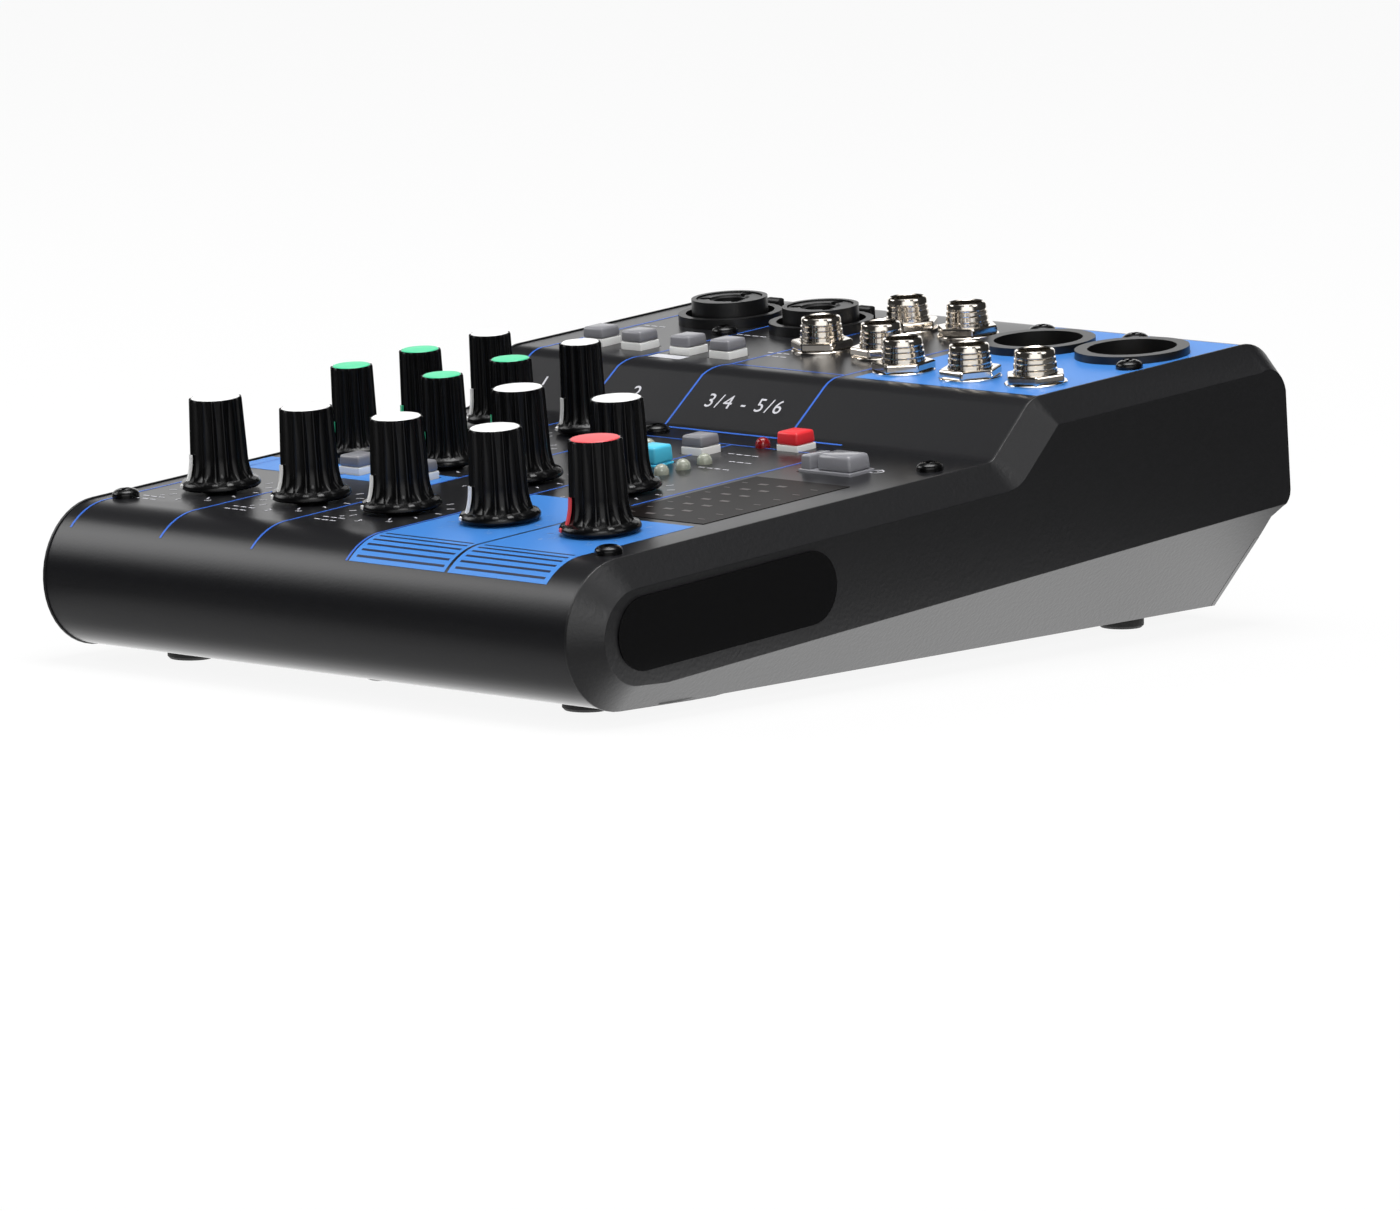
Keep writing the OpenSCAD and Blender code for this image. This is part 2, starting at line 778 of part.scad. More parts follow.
module xlr_outlet(at) {
    color("#1b1b1c")
        on_raised(at)
            difference() {
                union() {
                    translate([0, 0, -sheet_t - jack_depth - 2])
                        linear_extrude(height = jack_depth + 2)
                            soft_rect(flange_w, flange_l, 2);
                    translate([0, 0, -sheet_t])
                        cylinder(d = outlet_d, h = sheet_t + outlet_ring_h);
                }
                translate([0, 0, outlet_ring_h - outlet_depth])
                    cylinder(d = outlet_bore, h = outlet_depth + 1);
                for (a = pin_a)
                    rotate([0, 0, a])
                        translate([pin_r, 0, outlet_ring_h - outlet_depth - 4])
                            cylinder(d = pin_d + 2 * seat, h = 5);
                for (s = [1, -1])
                    translate([s * flange_dx, -s * flange_dv, -sheet_t - 6])
                        cylinder(d = screw_shank + 2 * seat, h = 7);
            }
}

pin_a = [30, 150, 270];
pin_r = 4.1;
pin_d = 2.4;
pin_l = 8.6;

module outlet_pins() {
    color("#c9b37a")
        for (p = outlet_at)
            on_raised(p, outlet_ring_h - outlet_depth - 4)
                for (a = pin_a)
                    rotate([0, 0, a])
                        translate([pin_r, 0, 0])
                            rotate_extrude()
                                polygon([[0, 0], [pin_d / 2, 0], [pin_d / 2, 4 + pin_l - 0.6],
                                    [pin_d / 2 - 0.6, 4 + pin_l], [0, 4 + pin_l]]);
}

// ---- phone sockets ----
module phone_jacks() {
    color("#d8d2c8")
        for (p = jack_at)
            on_raised(p)
                difference() {
                    union() {
                        translate([0, 0, -sheet_t - jack_depth - 2])
                            box(jack_body, jack_body, jack_depth + 2);
                        rotate_extrude()
                            polygon([[0, -sheet_t - 1], [jack_d / 2, -sheet_t - 1],
                                [jack_d / 2, 3.1], [jack_d / 2 - 0.5, 3.3], [jack_d / 2 - 0.5, 3.8],
                                [jack_d / 2 - 0.1, 4], [jack_d / 2 - 0.1, 4.5],
                                [jack_d / 2 - 0.7, 4.8], [jack_d / 2 - 0.7, jack_h - 0.3],
                                [jack_d / 2 - 1, jack_h], [0, jack_h]]);
                    }
                    translate([0, 0, -jack_depth])
                        cylinder(d = jack_bore, h = jack_depth + 20);
                }
}

nut_h = 2.2;
washer_t = 0.5;

module jack_nuts() {
    color("#e4ded4")
        for (p = jack_at)
            on_raised(p)
                difference() {
                    union() {
                        cylinder(d = nut_af + 1.4, h = washer_t);
                        intersection() {
                            cylinder(d = nut_af / cos(30), h = washer_t + nut_h, $fn = 6);
                            rotate_extrude()
                                polygon([[0, 0], [nut_af * 0.6, 0], [nut_af * 0.6, nut_h],
                                    [nut_af / 2 - 0.2, washer_t + nut_h], [0, washer_t + nut_h]]);
                        }
                    }
                    translate([0, 0, -1])
                        cylinder(d = jack_d + 2 * seat, h = 6);
                }
}

// ---- lamps, window, inlet ----
module lamp_lenses() {
    on_deck([0, 0])
        for (i = [0:len(lamp_at) - 1])
            color(i == len(lamp_at) - 1 ? "#8c1016" : "#d9ddcf")
                translate([lamp_at[i][0], lamp_at[i][1], 0])
                    rotate_extrude()
                        polygon(concat([[0, main_board_h], [lamp_d / 2, main_board_h]],
                            [for (a = [0:15:75]) [lamp_d / 2 * cos(a), 0.5 + lamp_d / 2 * sin(a)]],
                            [[0, 0.5 + lamp_d / 2]]));
}

module meter_window() {
    color("#1c1716")
        on_deck(window_at)
            union() {
                translate([0, 0, -sheet_t])
                    box(window_w, window_l, sheet_t + 0.1);
                translate([0, 0, -sheet_t - 1])
                    box(window_w + 2, window_l + 2, 1);
            }
}

inlet_w = 13;
inlet_h = 12;
inlet_d = 14;
inlet_bore = 6.3;

module dc_inlet() {
    color("#18181a")
        translate([inlet_x, rear_y, inlet_z])
            rotate([90, 0, 0])
                union() {
                    difference() {
                        union() {
                            translate([0, 0, -rim_h])
                                linear_extrude(height = inlet_d)
                                    soft_rect(inlet_w, inlet_h, 1);
                            translate([0, 0, sheet_t])
                                linear_extrude(height = 1.5)
                                    soft_rect(inlet_w + 3, inlet_h + 3, 1);
                        }
                        translate([0, 0, -2])
                            cylinder(d = inlet_bore, h = 12);
                    }
                    translate([0, 0, 1.5])
                        cylinder(d = 2, h = 9);
                }
}

// ---- pieces ----
top_cover();
bottom_cover();
left_cheek();
right_cheek();
side_badges();
rubber_feet();
panel_screws();
base_screws();
main_board();
jack_board();
potentiometers();
switch_bodies();
combo_socket(combo_at[0]);  // combo_socket_1
combo_socket(combo_at[1]);  // combo_socket_2
xlr_outlet(outlet_at[0]);  // xlr_outlet_1
xlr_outlet(outlet_at[1]);  // xlr_outlet_2
outlet_pins();
phone_jacks();
jack_nuts();
lamp_lenses();
meter_window();
dc_inlet();
big_knob(level_at[0]);  // level_knob_1
big_knob(level_at[1]);  // level_knob_2
big_knob(level_at[2]);  // level_knob_3
big_knob(level_at[3]);  // level_knob_4
big_knob(effect_at);  // effect_knob
big_knob(phones_at);  // phones_knob
big_knob(main_at);  // main_knob
small_knob(gain_at[0]);  // gain_knob_1
small_knob(gain_at[1]);  // gain_knob_2
small_knob(treble_at[0]);  // treble_knob_1
small_knob(treble_at[1]);  // treble_knob_2
small_knob(bass_at[0]);  // bass_knob_1
small_knob(bass_at[1]);  // bass_knob_2
big_cap(level_at[0], "#f4f4f2");  // level_cap_1
big_cap(level_at[1], "#f4f4f2");  // level_cap_2
big_cap(level_at[2], "#f4f4f2");  // level_cap_3
big_cap(level_at[3], "#f4f4f2");  // level_cap_4
big_cap(effect_at, "#f4f4f2");  // effect_cap
big_cap(phones_at, "#f4f4f2");  // phones_cap
big_cap(main_at, "#d8383c");  // main_cap
small_cap(gain_at[0], "#f4f4f2");  // gain_cap_1
small_cap(gain_at[1], "#f4f4f2");  // gain_cap_2
small_cap(treble_at[0], "#3fc58a");  // treble_cap_1
small_cap(treble_at[1], "#3fc58a");  // treble_cap_2
small_cap(bass_at[0], "#3fc58a");  // bass_cap_1
small_cap(bass_at[1], "#3fc58a");  // bass_cap_2
high_button(pad_at[0]);  // pad_button_1
high_button(filter_at[0]);  // filter_button_1
high_button(pad_at[1]);  // pad_button_2
high_button(filter_at[1]);  // filter_button_2
low_button(fx_at[0], "#7d7f84", "#efefef", button_pale);  // effect_button_1
low_button(fx_at[1], "#7d7f84", "#efefef", button_pale);  // effect_button_2
low_button(program_at, "#4db9f0", "#4db9f0", 0.5);  // program_button
low_button(mono_at, "#85878c", "#efefef", button_pale);  // mono_button
low_button(phantom_at, "#d2262c", "#f2f2f2", 1.2);  // phantom_button
power_button();
combo_latch(combo_at[0]);  // combo_latch_1
combo_latch(combo_at[1]);  // combo_latch_2
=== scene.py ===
# %% [markdown]
# # A compact mixing console, dressed for a studio photograph
# The console's solids come ready made and fixed in place. This notebook gives them their finishes,
# adds the printing on the bent steel cover, and models the pieces whose form needs more than a
# plain solid, such as the fluted knobs. First the frame is loaded.

# %% Load the frame
import json
import math

import bpy
from mathutils import Matrix, Vector


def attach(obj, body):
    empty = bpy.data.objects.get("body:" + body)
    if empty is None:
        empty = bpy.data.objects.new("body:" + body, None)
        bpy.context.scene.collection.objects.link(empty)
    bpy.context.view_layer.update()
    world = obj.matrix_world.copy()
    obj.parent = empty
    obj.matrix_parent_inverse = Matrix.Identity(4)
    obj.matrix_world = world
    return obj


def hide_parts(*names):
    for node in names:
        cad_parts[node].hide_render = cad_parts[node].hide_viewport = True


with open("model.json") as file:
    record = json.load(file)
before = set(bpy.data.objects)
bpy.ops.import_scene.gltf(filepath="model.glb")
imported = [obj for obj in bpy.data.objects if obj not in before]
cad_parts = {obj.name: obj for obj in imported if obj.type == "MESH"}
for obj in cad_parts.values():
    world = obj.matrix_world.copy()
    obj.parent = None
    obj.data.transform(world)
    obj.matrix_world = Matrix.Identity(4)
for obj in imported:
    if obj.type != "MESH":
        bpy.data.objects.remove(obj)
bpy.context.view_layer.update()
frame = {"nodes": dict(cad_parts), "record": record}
nodes = frame["nodes"]

MM = 0.001
scene = bpy.context.scene
scene.view_settings.view_transform = "Standard"


# %% [markdown]
# Operators act on whatever is selected, and the loaded solids arrive selected. One small function
# clears the selection, and another makes a fresh object the active one.

# %% Selection helpers
def deselect():
    for o in bpy.context.selected_objects:
        o.select_set(False)
    bpy.context.view_layer.objects.active = None


def activate(o):
    deselect()
    o.select_set(True)
    bpy.context.view_layer.objects.active = o


deselect()

# %% [markdown]
# The photograph looks at the console's front right corner from about 1.5 m to the right, 1.6 m in
# front and 0.3 m up, through a long lens. A long lens keeps the side edges nearly parallel. The
# camera's axes are written as a matrix: right, up and backwards.

# %% Camera
AZIMUTH = math.radians(42.903)
ELEVATION = math.radians(7.670)
ROLL = math.radians(-0.167)
EYE = Vector((1473.3, -1575.7, 297.5)) * MM
FOCAL_PIXELS, PICTURE_WIDTH, SENSOR = 11180, 1400, 36
right = Vector((math.cos(AZIMUTH), math.sin(AZIMUTH), 0))
back = Vector((math.sin(AZIMUTH) * math.cos(ELEVATION), -math.cos(AZIMUTH) * math.cos(ELEVATION),
               math.sin(ELEVATION)))
up = back.cross(right)
cam_right = right * math.cos(ROLL) + up * math.sin(ROLL)
cam_up = up * math.cos(ROLL) - right * math.sin(ROLL)
cam_data = bpy.data.cameras.new("camera")
cam_data.sensor_width = SENSOR
cam_data.lens = FOCAL_PIXELS / PICTURE_WIDTH * SENSOR
cam_data.clip_start = 0.1
cam_data.clip_end = 20
camera = bpy.data.objects.new("camera", cam_data)
scene.collection.objects.link(camera)
camera.matrix_world = Matrix((
    (cam_right.x, cam_up.x, back.x, EYE.x),
    (cam_right.y, cam_up.y, back.y, EYE.y),
    (cam_right.z, cam_up.z, back.z, EYE.z),
    (0, 0, 0, 1)))
scene.camera = camera
print("lens in mm:", round(cam_data.lens, 1))


# %% [markdown]
# Colours are written as sRGB hex values, as a colour picker shows them, and one function turns them
# into the linear values that a shader needs. Another adds a node with its settings and links, so
# that a material reads as a short list.

# %% Colour and node helpers
def linear(hex_value, alpha=1.0):
    parts = [int(hex_value[i:i + 2], 16) / 255 for i in (1, 3, 5)]
    return [c / 12.92 if c <= 0.04045 else ((c + 0.055) / 1.055) ** 2.4 for c in parts] + [alpha]


def add(tree, kind, settings=None, **links):
    """Add a node. A setting is a property or an input's value, and a link i0 goes to input 0."""
    n = tree.nodes.new(kind)
    for key, value in (settings or {}).items():
        if isinstance(key, str) and hasattr(n, key):
            setattr(n, key, value)
        else:
            n.inputs[key].default_value = value
    for key, source in links.items():
        name = key.replace("_", " ")
        by_number = name[0] == "i" and name[1:].isdigit()
        tree.links.new(source, n.inputs[int(name[1:]) if by_number else name])
    return n


def new_material(name, base, **settings):
    m = bpy.data.materials.new(name)
    m.use_nodes = True
    tree = m.node_tree
    shader = tree.nodes["Principled BSDF"]
    shader.inputs["Base Color"].default_value = linear(base)
    for key, value in settings.items():
        shader.inputs[key.replace("_", " ")].default_value = value
    return m, tree, shader


def grain_bump(tree, shader, size_mm, height_mm, detail=2.0):
    """A moulded or painted grain: noise with a real spacing, raised by a real height."""
    where = add(tree, "ShaderNodeTexCoord")
    noise = add(tree, "ShaderNodeTexNoise", {"Scale": 1000.0 / size_mm, "Detail": detail},
                Vector=where.outputs["Object"])
    bump = add(tree, "ShaderNodeBump", {"Strength": 1.0, "Distance": height_mm * MM},
               Height=noise.outputs["Fac"])
    tree.links.new(bump.outputs["Normal"], shader.inputs["Normal"])


def fade(tree, source, start, end, low, high):
    """An eased ramp over a value: low up to start, and high from end on."""
    return add(tree, "ShaderNodeMapRange", {"interpolation_type": "SMOOTHSTEP", 1: start, 2: end,
                                            3: low, 4: high}, i0=source)


# %% [markdown]
# The console stands on a white light table in a dim studio. Light Path tells the floor's material
# when the camera looks at it, and then it shows plain white, while its diffuse part still takes the
# shadow. A shiny finish sees the table glow close round the console, less so in front of it, and
# white cards lying to the front right and the rear left. The room itself is dim, with a light
# ceiling and a low white screen on those two sides. Four large soft lamps light the console.

# %% Light table
HALF_FOOTPRINT = (0.0745, 0.101, 0)
GLOW_REACH, GLOW_NEAR, GLOW_FAR = 0.05, 2.5, 0.06
FRONT_START, FRONT_END, FRONT_SHARE = -0.1, -0.082, 0.2
CARD_START, CARD_END, CARD_GLOW = -0.03, -0.08, 0.9
SEEN_SHARE = 0.9
deselect()
bpy.ops.mesh.primitive_plane_add(size=6, location=(0, 0, -0.00005))
floor = bpy.context.active_object
floor.name = "studio_floor"
floor_mat, tree, shader = new_material("white_paper", "#e6e6e6", Roughness=0.9)
path = add(tree, "ShaderNodeLightPath")
direct = add(tree, "ShaderNodeMath", {"operation": "MAXIMUM"}, i0=path.outputs["Is Camera Ray"],
             i1=path.outputs["Is Transmission Ray"])
seen = add(tree, "ShaderNodeMath", {"operation": "MAXIMUM"}, i0=direct.outputs[0],
           i1=path.outputs["Is Glossy Ray"])
where = add(tree, "ShaderNodeTexCoord")
far = add(tree, "ShaderNodeVectorMath", {"operation": "ABSOLUTE"}, i0=where.outputs["Object"])
far = add(tree, "ShaderNodeVectorMath", {"operation": "SUBTRACT", 1: HALF_FOOTPRINT},
          i0=far.outputs[0])
far = add(tree, "ShaderNodeVectorMath", {"operation": "MAXIMUM", 1: (0, 0, 0)}, i0=far.outputs[0])
far = add(tree, "ShaderNodeVectorMath", {"operation": "LENGTH"}, i0=far.outputs[0])
glow = fade(tree, far.outputs["Value"], 0.0, GLOW_REACH, GLOW_NEAR, GLOW_FAR)
place = add(tree, "ShaderNodeSeparateXYZ", None, Vector=where.outputs["Object"])
front = fade(tree, place.outputs["Y"], FRONT_START, FRONT_END, FRONT_SHARE, 1.0)
cross = add(tree, "ShaderNodeMath", {"operation": "MULTIPLY"}, i0=place.outputs["X"],
            i1=place.outputs["Y"])
cards = fade(tree, cross.outputs[0], CARD_START, CARD_END, 0.0, CARD_GLOW)
glow = add(tree, "ShaderNodeMath", {"operation": "MULTIPLY_ADD"}, i0=glow.outputs[0],
           i1=front.outputs[0], i2=cards.outputs[0])
strength = add(tree, "ShaderNodeMix", {"data_type": "FLOAT", 3: 1.0}, i0=direct.outputs[0],
               i2=glow.outputs[0])
white = add(tree, "ShaderNodeEmission", {"Color": linear("#ffffff")}, Strength=strength.outputs[0])
part = add(tree, "ShaderNodeMath", {"operation": "MULTIPLY", 1: SEEN_SHARE}, i0=seen.outputs[0])
mix = add(tree, "ShaderNodeMixShader", None, Fac=part.outputs[0], i1=shader.outputs[0],
          i2=white.outputs[0])
tree.links.new(mix.outputs[0], tree.nodes["Material Output"].inputs["Surface"])
floor.data.materials.append(floor_mat)
print("table nodes:", len(tree.nodes))

# %% Room
CEILING_START, CEILING_END, DIM, CEILING_GLOW = 0.8, 1.0, 0.03, 2.0
SCREEN_START, SCREEN_END, SCREEN_GLOW = -0.1, -0.35, 1.3
SCREEN_LOW, SCREEN_HIGH = 0.25, 0.5
world = bpy.data.worlds.new("studio_air")
scene.world = world
world.use_nodes = True
tree = world.node_tree
air = tree.nodes["Background"]
air.inputs["Color"].default_value = linear("#ffffff")
toward = add(tree, "ShaderNodeTexCoord")
toward = add(tree, "ShaderNodeSeparateXYZ", None, Vector=toward.outputs["Generated"])
above = fade(tree, toward.outputs["Z"], CEILING_START, CEILING_END, DIM, CEILING_GLOW)
cross = add(tree, "ShaderNodeMath", {"operation": "MULTIPLY"}, i0=toward.outputs["X"],
            i1=toward.outputs["Y"])
screen = fade(tree, cross.outputs[0], SCREEN_START, SCREEN_END, 0.0, SCREEN_GLOW)
low = fade(tree, toward.outputs["Z"], SCREEN_LOW, SCREEN_HIGH, 1.0, 0.0)
sky = add(tree, "ShaderNodeMath", {"operation": "MULTIPLY_ADD"}, i0=screen.outputs[0],
          i1=low.outputs[0], i2=above.outputs[0])
tree.links.new(sky.outputs[0], air.inputs["Strength"])
path = add(tree, "ShaderNodeLightPath")
plain = add(tree, "ShaderNodeBackground", {"Color": linear("#ffffff"), "Strength": 1.0})
mix = add(tree, "ShaderNodeMixShader", None, Fac=path.outputs["Is Camera Ray"],
          i1=air.outputs[0], i2=plain.outputs[0])
tree.links.new(mix.outputs[0], tree.nodes["World Output"].inputs["Surface"])
print("room nodes:", len(tree.nodes))


# %% Lamps
def soft_lamp(name, place, target, size, watts):
    """A rectangular lamp aimed at a point. Places and sizes are in metres."""
    data = bpy.data.lights.new(name, "AREA")
    data.shape = "RECTANGLE"
    data.size, data.size_y = size
    data.energy = watts
    lamp = bpy.data.objects.new(name, data)
    scene.collection.objects.link(lamp)
    lamp.location = place
    lamp.rotation_euler = (Vector(target) - Vector(place)).to_track_quat("-Z", "Y").to_euler()


soft_lamp("lamp_above", (0.0, 0.05, 1.3), (0, 0, 0), (0.9, 0.6), 12)
soft_lamp("lamp_left", (-1.2, -0.5, 0.8), (0, 0, 0.03), (0.8, 0.8), 7)
soft_lamp("lamp_right", (1.4, 0.2, 0.9), (0, 0, 0.03), (0.7, 0.7), 3.5)
soft_lamp("lamp_front", (1.0, -1.0, 0.9), (0, 0, 0.03), (0.6, 0.6), 5.5)
print("lamps:", len(bpy.data.lights))

# %% [markdown]
# ## Finishes
# Each finish is named for what it is on the console: powder-coated steel, moulded ABS, nickel
# plate and so on. The grain sizes are real spacings in millimetres.

# %% Painted and moulded blacks
finish = {}
# Powder-coated steel: a satin black with a fine orange-peel grain of 0.45 mm
m, tree, shader = new_material("powder_coat_black", "#121215", Roughness=0.3)
grain_bump(tree, shader, 0.45, 0.012)
finish["panel_black"] = m
m, tree, shader = new_material("powder_coat_base", "#222225", Roughness=0.5)
grain_bump(tree, shader, 0.5, 0.015)
finish["base_steel"] = m
# Moulded ABS with a spark-eroded texture: matte, with a grain of 0.8 mm
m, tree, shader = new_material("moulded_abs_black", "#141416", Roughness=0.4)
grain_bump(tree, shader, 0.8, 0.05, detail=3.0)
finish["cheek_plastic"] = m
m, tree, shader = new_material("polished_abs_black", "#040405", Roughness=0.14,
                               Specular_IOR_Level=0.3)
grain_bump(tree, shader, 6.0, 0.004)
finish["gloss_black"] = m
m, tree, shader = new_material("moulded_rubber", "#151515", Roughness=0.85)
grain_bump(tree, shader, 0.4, 0.03)
finish["foot_rubber"] = m
m, tree, shader = new_material("black_oxide_steel", "#0d0d0e", Roughness=0.22, Metallic=0.4)
grain_bump(tree, shader, 1.2, 0.006)
finish["screw_black"] = m
m, tree, shader = new_material("moulded_nylon_black", "#131314", Roughness=0.36)
grain_bump(tree, shader, 0.6, 0.01)
finish["socket_black"] = m
m, tree, shader = new_material("knob_nylon_black", "#070708", Roughness=0.24,
                               Specular_IOR_Level=0.32)
grain_bump(tree, shader, 0.8, 0.008)
finish["knob_black"] = m
print("blacks:", sorted(finish))

# %% Coloured plastics, metals and glass
for slot, name, colour, rough in (
        ("cap_white", "satin_abs_white", "#f3f3f2", 0.4),
        ("cap_green", "satin_abs_green", "#43d29a", 0.4),
        ("cap_red", "satin_abs_red", "#ec4a50", 0.4),
        ("button_red", "satin_abs_signal_red", "#ee3038", 0.35),
        ("button_blue", "satin_abs_sky_blue", "#52cdf0", 0.35),
        ("button_grey", "satin_abs_grey", "#85858a", 0.3),
        ("switch_white", "moulded_abs_white", "#f2f2f0", 0.42),
        ("gloss_grey", "polished_abs_grey", "#8b8b90", 0.14),
        ("board_green", "solder_mask_green", "#1d5a34", 0.35)):
    m, tree, shader = new_material(name, colour, Roughness=rough)
    grain_bump(tree, shader, 0.7, 0.008)
    finish[slot] = m
m, tree, shader = new_material("nickel_plate", "#ebe4da", Roughness=0.12, Metallic=1.0)
grain_bump(tree, shader, 0.5, 0.0008)
finish["jack_nickel"] = m
m, tree, shader = new_material("tinned_steel", "#9a9da1", Roughness=0.35, Metallic=1.0)
grain_bump(tree, shader, 0.5, 0.01)
finish["pot_steel"] = m
m, tree, shader = new_material("gold_flash_brass", "#cdb37a", Roughness=0.25, Metallic=1.0)
grain_bump(tree, shader, 0.5, 0.004)
finish["pin_brass"] = m
m, tree, shader = new_material("clear_epoxy_lamp", "#dfe3d2", Roughness=0.12,
                               Transmission_Weight=0.55, IOR=1.5)
grain_bump(tree, shader, 1.0, 0.003)
finish["lens_clear"] = m
m, tree, shader = new_material("tinted_epoxy_lamp_red", "#a0141a", Roughness=0.12,
                               Transmission_Weight=0.35, IOR=1.5)
grain_bump(tree, shader, 1.0, 0.003)
finish["lens_red"] = m
m, tree, shader = new_material("smoked_acrylic", "#14100f", Roughness=0.35,
                               Specular_IOR_Level=0.04)
grain_bump(tree, shader, 4.0, 0.003)
finish["window_smoke"] = m
print("finishes:", len(finish))

# %% [markdown]
# Every node of the frame takes the finish of its material slot in the record. A node that gets a
# better piece later is hidden then.

# %% Dress the frame's nodes
slot_of = {s["node"]: s["material_slot"] for s in frame["record"]["subparts"]}
for name, o in nodes.items():
    o.data.materials.clear()
    o.data.materials.append(finish[slot_of[name]])
print("dressed nodes:", len(nodes))

# %% [markdown]
# The cover's nose and the cheeks' rims are built of narrow flats. Copies of them, with their points
# merged, are shaded smooth across the bends and stand for the frame's pieces. The cheeks' sharp
# edges are eased as well, as moulded edges are.

# %% Smooth copies of the bent pieces
BEND_ANGLE = math.radians(16)
MERGE = 0.000001
FLAT_ANGLE, EDGE_ANGLE = math.radians(0.3), math.radians(28)
CHEEK_EASE = 0.35


def smooth_copy(name):
    o = nodes[name].copy()
    o.data = nodes[name].data.copy()
    o.name = name + "_smooth"
    scene.collection.objects.link(o)
    activate(o)
    bpy.ops.object.mode_set(mode="EDIT")
    bpy.ops.mesh.select_all(action="SELECT")
    bpy.ops.mesh.remove_doubles(threshold=MERGE)
    bpy.ops.mesh.mark_sharp(clear=True)
    bpy.ops.object.mode_set(mode="OBJECT")
    bpy.ops.mesh.customdata_custom_splitnormals_clear()
    bpy.ops.object.shade_smooth_by_angle(angle=BEND_ANGLE)
    deselect()
    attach(o, "console")
    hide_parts(name)
    return o


for name in ("left_cheek", "right_cheek"):
    cheek = smooth_copy(name)
    activate(cheek)
    bpy.ops.object.mode_set(mode="EDIT")
    bpy.ops.mesh.select_all(action="SELECT")
    bpy.ops.mesh.dissolve_limited(angle_limit=FLAT_ANGLE)
    bpy.ops.object.mode_set(mode="OBJECT")
    soft = cheek.modifiers.new("ease", "BEVEL")
    soft.width = CHEEK_EASE * MM
    soft.segments = 2
    soft.limit_method = "ANGLE"
    soft.angle_limit = EDGE_ANGLE
    bpy.ops.object.modifier_apply(modifier=soft.name)
    bpy.ops.object.shade_smooth_by_angle(angle=BEND_ANGLE)
    deselect()
    print(cheek.name, "faces:", len(cheek.data.polygons))

# %% [markdown]
# The cheeks are undercut by a slanted facet that runs along the bottom. The rear wall of the cover
# follows it: its two lower corners are cut off by the facet's plane, so that they don't stick out
# behind the cheeks.

# %% Trim the rear wall to the facet
FACET_ANGLE, FACET_RISE = math.radians(52), 0.0935
FACET_NORMAL = Vector((math.tan(FACET_ANGLE), FACET_RISE, -1)).normalized()
FACET_POINT = Vector((74.5, -84.5, 7.1)) * MM
KNIFE_SIZE = (0.6, 0.6, 0.06, 1)
cover = smooth_copy("top_cover")
for side in (1, -1):
    deselect()
    bpy.ops.mesh.primitive_cube_add(size=1)
    knife = bpy.context.active_object
    lean = FACET_NORMAL.to_track_quat("Z", "Y").to_matrix().to_4x4()
    knife.data.transform(Matrix.Translation(FACET_POINT) @ lean @ Matrix.Diagonal(KNIFE_SIZE)
                         @ Matrix.Translation((0, 0, 0.5)))
    if side < 0:
        knife.data.transform(Matrix.Diagonal((-1, 1, 1, 1)))
        knife.data.flip_normals()
    cut = cover.modifiers.new("facet", "BOOLEAN")
    cut.operation = "DIFFERENCE"
    cut.solver = "EXACT"
    cut.object = knife
    activate(cover)
    bpy.ops.object.modifier_apply(modifier=cut.name)
    bpy.data.objects.remove(knife)
activate(cover)
bpy.ops.object.shade_smooth_by_angle(angle=BEND_ANGLE)
deselect()
print("cover faces:", len(cover.data.polygons))

# %% [markdown]
# ## Places on the bent cover
# The controls sit on a deck that slopes up by 4.58 degrees. Their places are given as u across the
# deck, v up the slope and h square to it. Printing follows the steel round the nose and over the
# step, so a second function takes the length s along the bent sheet instead of v. All are in
# millimetres.

# %% Deck places and the bent line
TILT = math.radians(4.58)
NOSE_R, BASE_Z, HALF_DEPTH = 14.1, 2.4, 101.0
STEP_V, RISE, FOOT_R, CREST_R = 105.6, 10.4, 4.0, 6.0
nose_mid = Vector((-HALF_DEPTH + NOSE_R, BASE_Z + NOSE_R))


def heading(angle):
    return Vector((math.cos(angle), math.sin(angle)))


def outward(angle):
    return Vector((-math.sin(angle), math.cos(angle)))


deck_start = nose_mid + outward(TILT) * NOSE_R


def deck(u, v, h=0.0):
    p = deck_start + heading(TILT) * v + outward(TILT) * h
    return Vector((u, p.x, p.y)) * MM


turn = math.radians(45) - TILT
foot_cut = FOOT_R * math.tan(turn / 2)
crest_cut = CREST_R * math.tan(turn / 2)
ramp = RISE / math.sin(turn) - foot_cut - crest_cut
S_FOOT = STEP_V - foot_cut
S_RAMP = S_FOOT + FOOT_R * turn
S_CREST = S_RAMP + ramp
S_TOP = S_CREST + CREST_R * turn
V_TOP = STEP_V + RISE / math.tan(turn) + crest_cut
foot_mid = deck_start + heading(TILT) * S_FOOT + outward(TILT) * FOOT_R
ramp_start = foot_mid - outward(TILT + turn) * FOOT_R
crest_mid = ramp_start + heading(TILT + turn) * ramp - outward(TILT + turn) * CREST_R
top_start = crest_mid + outward(TILT) * CREST_R


